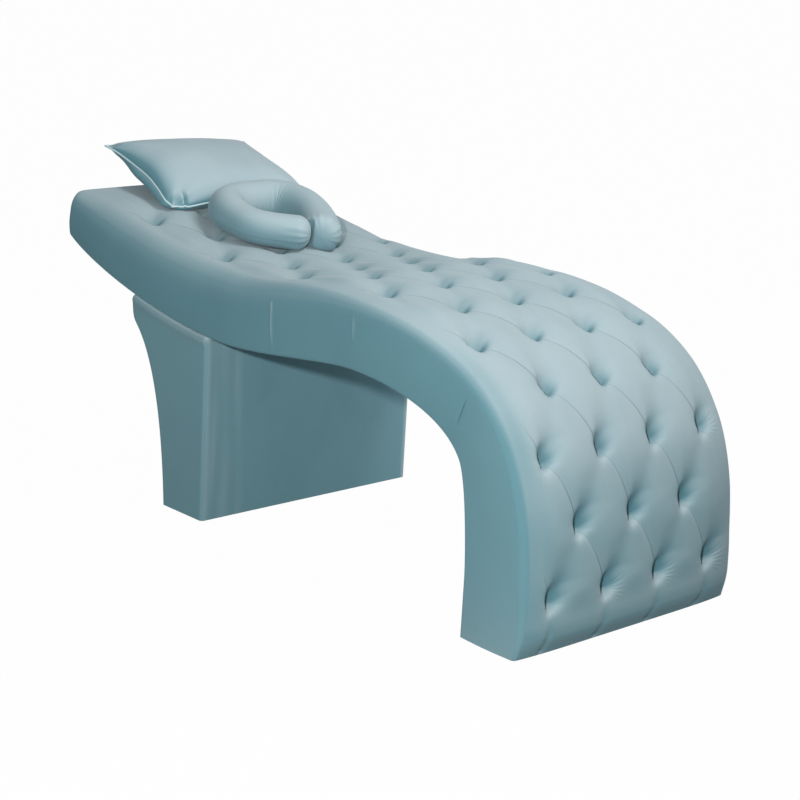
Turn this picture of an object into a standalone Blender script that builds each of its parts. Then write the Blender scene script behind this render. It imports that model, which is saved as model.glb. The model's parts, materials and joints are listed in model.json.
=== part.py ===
"""Facial bed: an S-shaped, deep-tufted couch on a box pedestal, with a loose pillow and a neck pillow.

Metres, +Z up, +X from the head end to the foot, origin on the floor under the middle of the whole.
While a piece is shaped, x runs from the bed's head end; the root empty then centres the assembly.
"""
import math
from collections import namedtuple

import bmesh
import bpy
import numpy as np
from mathutils import Matrix, Vector
from mathutils.bvhtree import BVHTree
from mathutils.geometry import interpolate_bezier

# Clearances
GAP = 0.0003
REST_GAP = 0.0006
EDGE_SHARES = (0.2, 0.4, 0.6, 0.8)
HOLE_CLEARANCE = 0.0004

# Top edge line of the bed, seen from the side
BED_WIDTH = 0.72
HEAD_HEIGHT = 0.775
HEAD_SLOPE = math.radians(-18.6)
DIP_X = 0.725
DIP_HEIGHT = 0.651
HUMP_X = 1.10
HUMP_HEIGHT = 0.6865
FOOT_REACH = 1.771
FOOT_BULGE_HEIGHT = 0.08
FOOT_TUCK = 0.012
FOOT_TUCK_SLOPE = math.radians(-99)
PLUMB_DOWN = math.radians(-90)

# Bottom edge line, measured from the top edge line
HEAD_THICKNESS = 0.124
BELLY_SLOPE = math.radians(-36.8)
BELLY_SETBACK = 0.025
DIP_THICKNESS = 0.165
ARCH_LEAD = 0.065
HUMP_THICKNESS = 0.159
HAUNCH_DEPTH = 0.227
HAUNCH_DROP = 0.2815
HAUNCH_SLOPE = math.radians(-57)
FOOT_THICKNESS = 0.187
INNER_FOOT_HEIGHT = 0.14

# Layers of the bed, from the tufted top inwards and from the underside inwards
TUFTED_LAYER = 0.045
BASE_FOAM = 0.020
DECK = 0.005
UNDER_COVER = 0.002
SOFFIT = 0.003
SIDE_COVER = 0.006
HEAD_COVER = 0.006
DRAW_IN = 0.003

# Tufted top
CROWN = 0.018
EDGE_ROUND = 0.026
HEM_ROUND = 0.008
TUFTS_WIDE = 4
TUFT_ROWS = 13
TUFT_SPACING = 0.177
TUFT_PITCH = 0.1545
TUFT_FIRST = 0.121
TUFT_SWAY = 0.020
TUFT_DEPTH = 0.032
TUFT_RADIUS = 0.040
FOLD_DEPTH = 0.010
END_TURN = 0.18
ROW_STEPS = 3
EDGE_ANGLES = (0, 35, 65, 90)
HEAD_ANGLES = (30, 60, 90)

# Bed frame
SIDE_PANEL = 0.018
LEG_HEIGHT = 0.27
CENTRE_RIB = 0.018
HEAD_PANEL = 0.015
FOOT_SOLE = 0.015
BATTEN_COUNT = 7
BATTEN_WIDTH = 0.034
BATTEN_DEPTH = 0.018
BATTEN_END_MARGIN = 0.16

# Pedestal
PEDESTAL_FRONT = 0.627
PEDESTAL_BASE_DEPTH = 0.1706
PEDESTAL_TOP_DEPTH = 0.326
REAR_RISE = math.radians(94)
FLARE_DEPTH = 0.310
FLARE_DROP = 0.077
FLARE_SLOPE = math.radians(137)
NOSE_DROP = 0.033
NOSE_TURN = math.radians(62)
PEDESTAL_COVER = 0.004
PEDESTAL_SIDE = 0.018
PEDESTAL_FRONT_PANEL = 0.015
PEDESTAL_REAR_PANEL = 0.005
PEDESTAL_PLATE = 0.018

# Pedestal fixings
CLEAT_WIDTH = 0.042
CLEAT_DEPTH = 0.026
BOLT_REAR_X = 0.385
BOLT_FRONT_X = 0.535
BOLT_SPREAD = 0.44
BOLT_RADIUS = 0.004
BOLT_HEAD_RADIUS = 0.0075
BOLT_HEAD_HEIGHT = 0.0053
BOLT_BITE = 0.018
BOLT_SEGMENTS = 16
HEX = 6

# Glides
GLIDE_HEIGHT = 0.004
GLIDE_RADIUS = 0.014
GLIDE_BEVEL = 0.0015
GLIDE_INSET = 0.035
GLIDE_SIDE_INSET = 0.09
GLIDE_SEGMENTS = 20

# Loose pillow
PILLOW_WIDTH = 0.49
PILLOW_DEPTH = 0.335
PILLOW_X = 0.105
PILLOW_Y = 0.038
PILLOW_LEAN = math.radians(4.5)
PILLOW_SEAM_HEIGHT = 0.046
PILLOW_CROWN = 0.072
PILLOW_WAIST = 0.055
PIPING_RADIUS = 0.004
CLOTH = 0.0016
FILL_EASE = 0.0022
PILLOW_STEPS = (10, 14)

# Loose neck pillow
NECK_X = 0.453
NECK_Y = 0.002
NECK_LENGTH = 0.385
NECK_WIDTH = 0.335
NECK_TUBE = 0.047
NECK_TIP = 0.018
NECK_OPENING = math.radians(10.5)
NECK_FLAT = 0.006
NECK_BLUNTNESS = 7
NECK_CROWDING = 0.3
NECK_STEPS = (24, 7)

# How finely the lines and surfaces are sampled
TOP_STEPS = 40
UNDER_STEPS = (14, 8, 8, 5, 1)
REAR_STEPS = (10, 4, 3)
PATH_OVERRUN = 0.12
SEAT_WINDOW = 4
WELD = 0.00001
SMOOTH_ANGLE = math.radians(50)

# A place on a line, its direction there, and the handles before and after as shares of the chord
Knot = namedtuple("Knot", "x z angle ease_in ease_out")


class Path:
    """A smooth line in the XZ plane, read by its arc length and run on straight past both ends."""

    def __init__(self, knots, steps):
        points = []
        for start, end, count in zip(knots, knots[1:], steps):
            first = Vector((start.x, start.z))
            last = Vector((end.x, end.z))
            chord = (last - first).length
            leave = Vector((math.cos(start.angle), math.sin(start.angle))) * start.ease_out * chord
            arrive = Vector((math.cos(end.angle), math.sin(end.angle))) * end.ease_in * chord
            curve = interpolate_bezier(first, first + leave, last - arrive, last, count + 1)
            points += curve[bool(points):]
        self.points = np.array(points)
        self.arcs = np.concatenate(([0], np.cumsum(np.hypot(*np.diff(self.points, axis=0).T))))
        self.length = self.arcs[-1]
        self.ends = [(math.cos(k.angle), math.sin(k.angle)) for k in (knots[0], knots[-1])]

    def at(self, arc):
        inside = min(max(arc, 0), self.length)
        point = np.array([np.interp(inside, self.arcs, self.points[:, axis]) for axis in (0, 1)])
        return point + (arc - inside) * self.along(arc)

    def along(self, arc):
        if arc <= 0:
            return np.array(self.ends[0])
        if arc >= self.length:
            return np.array(self.ends[1])
        index = min(np.searchsorted(self.arcs, arc), len(self.arcs) - 1)
        low, high = max(index - 1, 0), min(index + 1, len(self.arcs) - 1)
        run = self.points[high] - self.points[low]
        return run / np.hypot(*run)

    def right(self, arc):
        x, z = self.along(arc)
        return np.array((z, -x))

    def line(self, arcs, inset):
        """Points at these arc lengths, moved to the right of the line by the inset."""
        return [tuple(self.at(arc) + inset * self.right(arc)) for arc in arcs]

    def knots_and_overrun(self):
        return [-PATH_OVERRUN, *self.arcs, self.length + PATH_OVERRUN]


def clip(line, axis, low=-math.inf, high=math.inf):
    """The stretch of a line whose x (axis 0) or z (axis 1) lies between two limits."""
    for limit, keep in ((low, 1), (high, -1)):
        kept = []
        for start, end in zip(line, line[1:] + line[-1:]):
            before = keep * (start[axis] - limit)
            after = keep * (end[axis] - limit)
            if before >= 0:
                kept.append(start)
            if before * after < 0 and math.isfinite(limit):
                share = before / (before - after)
                kept.append(tuple(a + share * (b - a) for a, b in zip(start, end)))
        line = kept
    return line


# The two edge lines of the bed
top_line = Path([
    Knot(0, HEAD_HEIGHT, HEAD_SLOPE, 0, 0.306),
    Knot(DIP_X, DIP_HEIGHT, 0, 0.345, 0.289),
    Knot(HUMP_X, HUMP_HEIGHT, 0, 0.342, 0.603),
    Knot(FOOT_REACH, FOOT_BULGE_HEIGHT, PLUMB_DOWN, 0.430, 0.33),
    Knot(FOOT_REACH - FOOT_TUCK, 0, FOOT_TUCK_SLOPE, 0.33, 0),
], [TOP_STEPS] * 4)

under_line = Path([
    Knot(0, HEAD_HEIGHT - HEAD_THICKNESS, BELLY_SLOPE, 0, 0.156),
    Knot(DIP_X - BELLY_SETBACK, DIP_HEIGHT - DIP_THICKNESS, 0, 0.346, 0.317),
    Knot(HUMP_X + ARCH_LEAD, HUMP_HEIGHT - HUMP_THICKNESS, 0, 0.212, 0.128),
    Knot(FOOT_REACH - HAUNCH_DEPTH, HUMP_HEIGHT - HAUNCH_DROP, HAUNCH_SLOPE, 0.338, 0.187),
    Knot(FOOT_REACH - FOOT_THICKNESS, INNER_FOOT_HEIGHT, PLUMB_DOWN, 0.149, 0.2),
    Knot(FOOT_REACH - FOOT_THICKNESS, 0, PLUMB_DOWN, 0.2, 0),
], UNDER_STEPS)

# Heights of the layers: down from the top line, up from the underside
foam_top = TUFTED_LAYER + GAP
deck_top = foam_top + BASE_FOAM + GAP
frame_top = deck_top + DECK + GAP
soffit_low = UNDER_COVER + GAP
frame_low = soffit_low + SOFFIT + GAP

inner_half = BED_WIDTH / 2 - DRAW_IN - SIDE_COVER - GAP
panel_inner = inner_half - SIDE_PANEL
head_start = HEAD_COVER + GAP
frame_start = head_start + HEAD_PANEL + GAP
frame_floor = GLIDE_HEIGHT + FOOT_SOLE + GAP


def tuft_places():
    """Arc length from the foot's lower edge, and place across, of every tuft."""
    for row in range(TUFT_ROWS):
        count = TUFTS_WIDE - row % 2
        for column in range(count):
            yield TUFT_FIRST + row * TUFT_PITCH, (column - (count - 1) / 2) * TUFT_SPACING


tufts = np.array(list(tuft_places()))


def fade(value, start, end):
    share = min(max((value - start) / (end - start), 0), 1)
    return share * share * (3 - 2 * share)


def top_height(from_foot, y):
    """Height of the tufted surface over the top line: crown, folds between tufts, and the tufts."""
    round_off = HEM_ROUND + (EDGE_ROUND - HEM_ROUND) * fade(from_foot, 0, 2 * TUFT_FIRST)
    flat_half = BED_WIDTH / 2 - round_off
    over = max(abs(y) - flat_half, 0)
    past = max(round_off - (top_line.length - from_foot), 0)
    turned = math.sqrt(max(round_off ** 2 - over ** 2 - past ** 2, 0))
    rows = (from_foot - TUFT_FIRST) / TUFT_PITCH
    columns = y / (TUFT_SPACING / 2)
    waves = math.sin(math.pi * (rows + columns + 1) / 2) * math.sin(math.pi * (rows - columns + 1) / 2)
    last_tuft = (TUFTS_WIDE - 1) / 2 * TUFT_SPACING
    inside = 1 - fade(abs(y), last_tuft, BED_WIDTH / 2)
    inside *= fade(from_foot, 0, TUFT_FIRST) * fade(top_line.length - from_foot, 0, TUFT_FIRST)
    fold = FOLD_DEPTH * inside * (1 - math.sqrt(abs(waves)))
    reach = np.hypot(tufts[:, 0] - from_foot, tufts[:, 1] - y)
    tuft = (TUFT_DEPTH - FOLD_DEPTH) * float(np.exp(-(reach / TUFT_RADIUS) ** 2).max())
    crown = CROWN * (1 - (2 * y / BED_WIDTH) ** 2)
    return turned - round_off + (crown - fold - tuft) * turned / round_off


def top_arcs():
    """Arc lengths from the head at which the top layers are sampled, tuft rows among them."""
    step = TUFT_PITCH / ROW_STEPS
    first = TUFT_FIRST % step
    count = int((top_line.length - first - EDGE_ROUND) / step) + 1
    arcs = [top_line.length - first - index * step for index in range(count)]
    rounded = [EDGE_ROUND * (1 - math.sin(math.radians(angle))) for angle in HEAD_ANGLES]
    return sorted({top_line.length, *arcs, *rounded})


sample_arcs = top_arcs()
layer_arcs = [-PATH_OVERRUN, *sample_arcs, top_line.length + PATH_OVERRUN]
under_arcs = under_line.knots_and_overrun()


def inward(arc):
    """Way through the tufted layer: square to it, but upright at the head and level at the floor."""
    right = top_line.right(arc)
    head = 1 - fade(arc, 0, END_TURN)
    foot = 1 - fade(top_line.length - arc, 0, END_TURN)
    down = right * (1 - head - foot) + np.array((0, -1)) * head + np.array((-1, 0)) * foot
    return down / down.dot(right)


def sway(from_foot, y):
    """How far the velvet of the lower foot is drawn to the right."""
    last_tuft = (TUFTS_WIDE - 1) / 2 * TUFT_SPACING
    low = 1 - fade(from_foot, TUFT_FIRST + TUFT_PITCH, TUFT_FIRST + 2.5 * TUFT_PITCH)
    return TUFT_SWAY * low * (1 - fade(abs(y), last_tuft, BED_WIDTH / 2))


def top_surface(arc, y):
    """A point of the tufted surface."""
    from_foot = top_line.length - arc
    x, z = top_line.at(arc) - top_height(from_foot, y) * inward(arc)
    return Vector((x, y - sway(from_foot, y), max(z, GLIDE_HEIGHT)))


def top_underside(arc, y):
    """A point under the tufted layer."""
    x, z = top_line.at(arc) + TUFTED_LAYER * inward(arc)
    return Vector((x, y, max(z, GLIDE_HEIGHT)))


# Scene helpers
def collection(name):
    made = bpy.data.collections.new(name)
    bpy.context.scene.collection.children.link(made)
    return made


def material(name, colour, roughness, metallic=0.0):
    made = bpy.data.materials.new(name)
    made.use_nodes = True
    shader = made.node_tree.nodes["Principled BSDF"]
    shader.inputs["Base Color"].default_value = (*colour, 1)
    shader.inputs["Roughness"].default_value = roughness
    shader.inputs["Metallic"].default_value = metallic
    return made


for old in list(bpy.data.objects):
    bpy.data.objects.remove(old, do_unlink=True)

parts = collection("facial_bed")
cutters = collection("cutters")

velvet = material("velvet", (0.27, 0.39, 0.43), 0.85)
piping_cloth = material("piping", (0.43, 0.55, 0.58), 0.8)
plywood = material("plywood", (0.62, 0.44, 0.27), 0.6)
pine = material("pine", (0.73, 0.55, 0.34), 0.65)
hardboard = material("hardboard", (0.28, 0.18, 0.11), 0.7)
foam = material("foam", (0.83, 0.78, 0.60), 0.95)
wadding = material("wadding", (0.86, 0.86, 0.84), 0.95)
steel = material("zinc_steel", (0.62, 0.63, 0.64), 0.35, 1.0)
nylon = material("nylon", (0.07, 0.07, 0.075), 0.45)

root = bpy.data.objects.new("facial_bed", None)
parts.objects.link(root)


def add(name, data, finish, parent=None):
    piece = bpy.data.objects.new(name, data)
    parts.objects.link(piece)
    piece.parent = parent or root
    if finish:
        data.materials.append(finish)
    return piece


def joint_empty(name, place):
    """An empty on a loose piece's lifting axis."""
    empty = bpy.data.objects.new(name, None)
    parts.objects.link(empty)
    empty.parent = root
    empty.location = place
    return empty


def as_cutter(piece):
    parts.objects.unlink(piece)
    cutters.objects.link(piece)
    piece.display_type = "WIRE"
    piece.hide_render = True
    return piece


def cut(piece, cutter, operation="DIFFERENCE"):
    modifier = piece.modifiers.new(cutter.name, "BOOLEAN")
    modifier.operation = operation
    modifier.object = cutter
    modifier.solver = "EXACT"


def plate(name, outline, low, high, finish):
    """A flat outline in the XZ plane, extruded across the bed from y = low to y = high."""
    curve = bpy.data.curves.new(name, "CURVE")
    curve.dimensions = "2D"
    curve.fill_mode = "BOTH"
    curve.extrude = (high - low) / 2
    spline = curve.splines.new("POLY")
    spline.points.add(len(outline) - 1)
    spline.use_cyclic_u = True
    for point, (x, z) in zip(spline.points, outline):
        point.co = (x, z, 0, 1)
    piece = add(name, curve, finish)
    piece.rotation_euler.x = math.radians(90)
    piece.location.y = (low + high) / 2
    return piece


def solid(piece):
    """The same piece as a welded mesh, which a Boolean can cut."""
    bpy.context.view_layer.update()
    evaluated = piece.evaluated_get(bpy.context.evaluated_depsgraph_get())
    mesh = bpy.data.meshes.new_from_object(evaluated)
    shape = bmesh.new()
    shape.from_mesh(mesh)
    bmesh.ops.remove_doubles(shape, verts=shape.verts, dist=WELD)
    shape.to_mesh(mesh)
    shape.free()
    name, place = piece.name, piece.matrix_world.copy()
    bpy.data.objects.remove(piece, do_unlink=True)
    made = add(name, mesh, None)
    made.matrix_world = place
    return made


def mesh_piece(name, shape, finish, parent=None, smooth_angle=None):
    mesh = bpy.data.meshes.new(name)
    bmesh.ops.recalc_face_normals(shape, faces=shape.faces)
    shape.to_mesh(mesh)
    shape.free()
    if smooth_angle is not None:
        mesh.shade_smooth()
        mesh.set_sharp_from_angle(angle=smooth_angle)
    return add(name, mesh, finish, parent)


def box(name, size, place, tilt, finish):
    """A box turned about Y by the tilt, with its centre at the place."""
    shape = bmesh.new()
    bmesh.ops.create_cube(shape, size=1, matrix=Matrix.Diagonal((*size, 1)))
    piece = mesh_piece(name, shape, finish)
    piece.location = place
    piece.rotation_euler.y = tilt
    return piece


# Bed frame and upholstery layers
def bed_outline(top_inset, under_inset, start, floor):
    """Region between two layers, from a start at the head to a height above the floor."""
    upper = clip(clip(top_line.line(layer_arcs, top_inset), 0, start), 1, floor)
    lower = clip(clip(under_line.line(under_arcs, -under_inset), 0, start), 1, floor)
    return upper + lower[::-1]


def band(line_path, arcs, outer, inner, start):
    """A bent sheet between two insets of one edge line."""
    near = clip(clip(line_path.line(arcs, outer), 0, start), 1, GLIDE_HEIGHT)
    far = clip(clip(line_path.line(arcs, inner), 0, start), 1, GLIDE_HEIGHT)
    return near + far[::-1]


def between(top_inset, under_inset, axis, low, high):
    """The slice of the region between two layers where x (0) or z (1) lies between limits."""
    upper = clip(top_line.line(layer_arcs, top_inset), axis, low, high)
    lower = clip(under_line.line(under_arcs, -under_inset), axis, low, high)
    return upper + lower[::-1]


def seat_on(line, place, along, width):
    """How far a flat face of this width stays back from a line that it is laid against."""
    local = [((x - place[0]) * along[0] + (z - place[1]) * along[1],
              (x - place[0]) * -along[1] + (z - place[1]) * along[0]) for x, z in line]
    near = sorted(point for point in local if abs(point[0]) < SEAT_WINDOW * width)
    across, off = zip(*near)
    ends = [np.interp(side * width / 2, across, off) for side in (-1, 1)]
    return ends + [height for step, height in near if abs(step) < width / 2]


def deck_battens():
    """Cross battens laid flat under the deck, with the clearance slots they need in the rib."""
    underside = top_line.line(layer_arcs, frame_top - GAP)
    run = top_line.length - 2 * BATTEN_END_MARGIN
    batten = (BATTEN_WIDTH, 2 * (panel_inner - GAP), BATTEN_DEPTH)
    slot = (BATTEN_WIDTH + 2 * GAP, 2 * CENTRE_RIB, 2 * (BATTEN_DEPTH + GAP))
    for index in range(BATTEN_COUNT):
        arc = BATTEN_END_MARGIN + run * index / (BATTEN_COUNT - 1)
        place = top_line.at(arc) + frame_top * top_line.right(arc)
        along = top_line.along(arc)
        drop = min(seat_on(underside, place, along, BATTEN_WIDTH)) - GAP - BATTEN_DEPTH / 2
        centre = place - drop * top_line.right(arc)
        tilt = -math.atan2(along[1], along[0])
        box(f"batten_{index + 1}", batten, (centre[0], 0, centre[1]), tilt, pine)
        raised = centre - BATTEN_DEPTH / 2 * top_line.right(arc)
        yield as_cutter(box(f"batten_slot_{index + 1}", slot, (raised[0], 0, raised[1]), tilt, None))


def cleat_seat(x):
    """Middle and direction of the facet of the underside that holds this x."""
    points = under_line.points
    index = int(np.searchsorted(points[:, 0], x)) - 1
    run = points[index + 1] - points[index]
    return (points[index] + points[index + 1]) / 2, run / np.hypot(*run)


def bed():
    rib_outline = bed_outline(frame_top, frame_low, frame_start, frame_floor)
    side_outline = bed_outline(frame_top, frame_low, frame_start, LEG_HEIGHT + GAP)
    leg_outline = between(frame_top, frame_low, 1, frame_floor, LEG_HEIGHT)
    cover_outline = bed_outline(foam_top, 0, 0, GLIDE_HEIGHT)
    cover_inner = inner_half + GAP
    for side, name in ((1, "left"), (-1, "right")):
        edges = sorted((side * inner_half, side * panel_inner))
        plate(f"side_panel_{name}", side_outline, *edges, plywood)
        plate(f"leg_panel_{name}", leg_outline, *edges, plywood)
        edges = sorted((side * cover_inner, side * (cover_inner + SIDE_COVER)))
        plate(f"side_cover_{name}", cover_outline, *edges, velvet)
    rib = solid(plate("centre_rib", rib_outline, -CENTRE_RIB / 2, CENTRE_RIB / 2, plywood))
    for slot in deck_battens():
        cut(rib, slot)
    across = (-inner_half, inner_half)
    foam_band = band(top_line, layer_arcs, foam_top, foam_top + BASE_FOAM, head_start)
    plate("base_foam", foam_band, *across, foam)
    deck_band = band(top_line, layer_arcs, deck_top, deck_top + DECK, head_start)
    plate("deck_panel", deck_band, *across, plywood)
    head_end = head_start + HEAD_PANEL
    plate("head_panel", between(frame_top, frame_low, 0, head_start, head_end), *across, plywood)
    plate("head_cover", between(foam_top, 0, 0, 0, HEAD_COVER), *across, velvet)
    sole_top = GLIDE_HEIGHT + FOOT_SOLE
    plate("foot_sole", between(frame_top, frame_low, 1, GLIDE_HEIGHT, sole_top), *across, plywood)
    soffit_band = band(under_line, under_arcs, -soffit_low - SOFFIT, -soffit_low, head_start)
    soffit = solid(plate("soffit_panel", soffit_band, *across, hardboard))
    cover_band = band(under_line, under_arcs, -UNDER_COVER, 0, head_start)
    cover = solid(plate("under_cover", cover_band, *across, velvet))
    return rib, soffit, cover


def tufted_top():
    """The tufted layer: a grid laid over the bed and raised by its height, closed by a plain underside."""
    lattice = TUFT_SPACING / 4
    count = int((BED_WIDTH / 2 - EDGE_ROUND - lattice / 4) / lattice)
    columns = [index * lattice for index in range(-count, count + 1)]
    for angle in EDGE_ANGLES:
        reach = BED_WIDTH / 2 - EDGE_ROUND * (1 - math.sin(math.radians(angle)))
        columns += [-reach, reach]
    columns.sort()
    arcs = [arc for arc in sample_arcs if top_line.at(arc)[1] >= 0]
    shape = bmesh.new()
    grid = bmesh.ops.create_grid(shape, x_segments=len(arcs) - 1, y_segments=len(columns) - 1, size=0.5)
    last, far = len(arcs) - 1, len(columns) - 1
    upper = {}
    for vert in grid["verts"]:
        row, column = round((vert.co.x + 0.5) * last), round((vert.co.y + 0.5) * far)
        upper[row, column] = vert
    spots = {vert: spot for spot, vert in upper.items()}
    rim = [link for link in shape.edges if link.is_boundary]
    lower = {}
    for (row, column), vert in upper.items():
        vert.co = top_surface(arcs[row], columns[column])
        if vert.is_boundary:
            y = columns[column] * (1 - 2 * DRAW_IN / BED_WIDTH)
            lower[row, column] = shape.verts.new(top_underside(arcs[row], y))
    for link in rim:
        first, second = (spots[vert] for vert in link.verts)
        shape.faces.new((upper[first], upper[second], lower[second], lower[first]))
    for row in range(last):
        near = [lower[row, column] for column in (range(far + 1) if row == 0 else (0, far))]
        ahead = [lower[row + 1, column] for column in (range(far + 1) if row == last - 1 else (0, far))]
        shape.faces.new(near + ahead[::-1])
    return mesh_piece("tufted_top", shape, velvet, smooth_angle=SMOOTH_ANGLE)


# Pedestal
def underside_height(x):
    return float(np.interp(x, under_line.points[:, 0], under_line.points[:, 1]))


nose_x = PEDESTAL_FRONT - PEDESTAL_TOP_DEPTH
flare_x = PEDESTAL_FRONT - FLARE_DEPTH
nose_top = underside_height(nose_x)
rear_line = Path([
    Knot(PEDESTAL_FRONT - PEDESTAL_BASE_DEPTH, 0, REAR_RISE, 0, 0.52),
    Knot(flare_x, nose_top - FLARE_DROP, FLARE_SLOPE, 0.2, 0.36),
    Knot(nose_x, nose_top - NOSE_DROP, -PLUMB_DOWN, 0.36, 0.36),
    Knot(nose_x + NOSE_DROP / 2, nose_top + NOSE_DROP / 2, NOSE_TURN, 0.36, 0),
], REAR_STEPS)
rear_arcs = [-PATH_OVERRUN, *rear_line.arcs, rear_line.length + PATH_OVERRUN / 2]


def below_bed(line, clearance):
    """The stretch of a rising line that stays under the bed's lower face."""
    kept = []
    for start, end in zip(line, line[1:]):
        room = underside_height(start[0]) - clearance - start[1]
        next_room = underside_height(end[0]) - clearance - end[1]
        if room >= 0:
            kept.append(start)
        if room * next_room < 0:
            share = room / (room - next_room)
            kept.append(tuple(a + share * (b - a) for a, b in zip(start, end)))
    return kept


def pedestal_outline(inset, floor):
    """The pedestal's side view, drawn in by an inset at its front and its curved rear."""
    rear = below_bed(clip(rear_line.line(rear_arcs, inset), 1, floor), GAP)
    front = PEDESTAL_FRONT - inset
    ceiling = clip(under_line.line(under_arcs, GAP), 0, rear[-1][0] + GAP, front)
    return rear + ceiling + [(front, floor)]


def pedestal():
    inset = PEDESTAL_COVER + GAP
    side_outer = BED_WIDTH / 2 - DRAW_IN - inset
    side_inner = side_outer - PEDESTAL_SIDE
    across = (GAP - side_inner, side_inner - GAP)
    outline = pedestal_outline(inset, GLIDE_HEIGHT)
    for side, name in ((1, "left"), (-1, "right")):
        edges = sorted((side * side_outer, side * side_inner))
        plate(f"pedestal_side_{name}", outline, *edges, plywood)
    front_outer = PEDESTAL_FRONT - inset
    front_inner = front_outer - PEDESTAL_FRONT_PANEL
    ceiling = under_line.line(under_arcs, GAP)
    panel = clip(ceiling, 0, front_inner, front_outer)
    panel += [(front_outer, GLIDE_HEIGHT), (front_inner, GLIDE_HEIGHT)]
    plate("pedestal_front_panel", panel, *across, plywood)
    outer = below_bed(clip(rear_line.line(rear_arcs, inset), 1, GLIDE_HEIGHT), GAP)
    inner = below_bed(clip(rear_line.line(rear_arcs, inset + PEDESTAL_REAR_PANEL), 1, GLIDE_HEIGHT), GAP)
    plate("pedestal_rear_panel", outer + inner[::-1], *across, plywood)
    clear_rear = below_bed(rear_line.line(rear_arcs, inset + PEDESTAL_REAR_PANEL + GAP), 0)
    plate_low = under_line.line(under_arcs, GAP + PEDESTAL_PLATE)
    rear_end = max(x for x, z in clear_rear if z > nose_top - 2 * PEDESTAL_PLATE)
    front_end = front_inner - GAP
    lid = clip(ceiling, 0, rear_end, front_end) + clip(plate_low, 0, rear_end, front_end)[::-1]
    top_plate = solid(plate("pedestal_top_plate", lid, *across, plywood))
    rear_foot = clip(clear_rear, 1, GLIDE_HEIGHT)[0][0]
    floor_top = GLIDE_HEIGHT + PEDESTAL_PLATE
    base = [(rear_foot, GLIDE_HEIGHT), (front_end, GLIDE_HEIGHT)]
    base += [(front_end, floor_top), (rear_foot, floor_top)]
    plate("pedestal_base_plate", base, *across, plywood)
    pedestal_cover(side_outer + GAP)
    glide_rows = (rear_foot + GLIDE_INSET, front_end - GLIDE_INSET)
    glides("pedestal", glide_rows, (-1, 1), across[1] - GLIDE_SIDE_INSET)
    return top_plate


def pedestal_cover(hollow_half):
    """The velvet sleeve round the pedestal, open under the bed and at the floor."""
    half = hollow_half + PEDESTAL_COVER
    sleeve = solid(plate("pedestal_cover", pedestal_outline(0, GLIDE_HEIGHT), -half, half, velvet))
    rear = rear_line.line(rear_arcs, PEDESTAL_COVER)
    front = PEDESTAL_FRONT - PEDESTAL_COVER
    hollow = rear + [(front, rear[-1][1]), (front, rear[0][1])]
    cut(sleeve, as_cutter(solid(plate("pedestal_hollow", hollow, -hollow_half, hollow_half, None))))


def glides(owner, places_x, sides, reach):
    """Round nylon glides nailed under the pedestal or the foot."""
    number = 1
    for x in places_x:
        for side in sides:
            shape = bmesh.new()
            bmesh.ops.create_cone(shape, cap_ends=True, segments=GLIDE_SEGMENTS,
                                  radius1=GLIDE_RADIUS - GLIDE_BEVEL, radius2=GLIDE_RADIUS,
                                  depth=GLIDE_HEIGHT - GAP)
            piece = mesh_piece(f"{owner}_glide_{number}", shape, nylon, smooth_angle=SMOOTH_ANGLE)
            piece.location = (x, side * reach, (GLIDE_HEIGHT - GAP) / 2)
            number += 1


def foot_glides():
    """Three glides in a row under the sole."""
    sole = between(frame_top, frame_low, 1, GLIDE_HEIGHT, GLIDE_HEIGHT + FOOT_SOLE)
    middle = (min(x for x, z in sole) + max(x for x, z in sole)) / 2
    glides("foot", (middle,), (-1, 0, 1), inner_half - GLIDE_SIDE_INSET)


def cylinder(shape, radius, low, high, segments):
    """A cylinder on the local Z axis."""
    turn = Matrix.Translation((0, 0, (low + high) / 2))
    bmesh.ops.create_cone(shape, cap_ends=True, segments=segments, radius1=radius, radius2=radius,
                          depth=high - low, matrix=turn)


def bolts(rib, drilled):
    """Cleats over the soffit, and the bolts that come up into them from inside the pedestal."""
    grip = GAP + PEDESTAL_PLATE
    cleat_size = (CLEAT_WIDTH, 2 * (panel_inner - GAP), CLEAT_DEPTH)
    slot_size = (CLEAT_WIDTH + 2 * GAP, 2 * CENTRE_RIB, 2 * (CLEAT_DEPTH + GAP))
    ceiling = under_line.line(under_arcs, -frame_low + GAP)
    number = 1
    for x, label in ((BOLT_REAR_X, "rear"), (BOLT_FRONT_X, "front")):
        seat, along = cleat_seat(x)
        up = np.array((-along[1], along[0]))
        tilt = -math.atan2(along[1], along[0])
        lift = max(seat_on(ceiling, seat, along, CLEAT_WIDTH)) + GAP
        centre = seat + (lift + CLEAT_DEPTH / 2) * up
        cleat = box(f"bolt_cleat_{label}", cleat_size, (centre[0], 0, centre[1]), tilt, pine)
        lowered = centre - CLEAT_DEPTH / 2 * up
        slot = box(f"cleat_slot_{label}", slot_size, (lowered[0], 0, lowered[1]), tilt, None)
        cut(rib, as_cutter(slot))
        for side in (-1, 1):
            spot = (seat[0], side * BOLT_SPREAD / 2, seat[1])
            tip = lift + BOLT_BITE
            bolt(number, spot, tilt, grip, tip)
            shape = bmesh.new()
            cylinder(shape, BOLT_RADIUS + HOLE_CLEARANCE, -grip - PEDESTAL_PLATE, tip + GAP, BOLT_SEGMENTS)
            hole = as_cutter(mesh_piece(f"bolt_hole_{number}", shape, None))
            hole.location = spot
            hole.rotation_euler.y = tilt
            for piece in (cleat, *drilled):
                cut(piece, hole)
            number += 1


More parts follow.
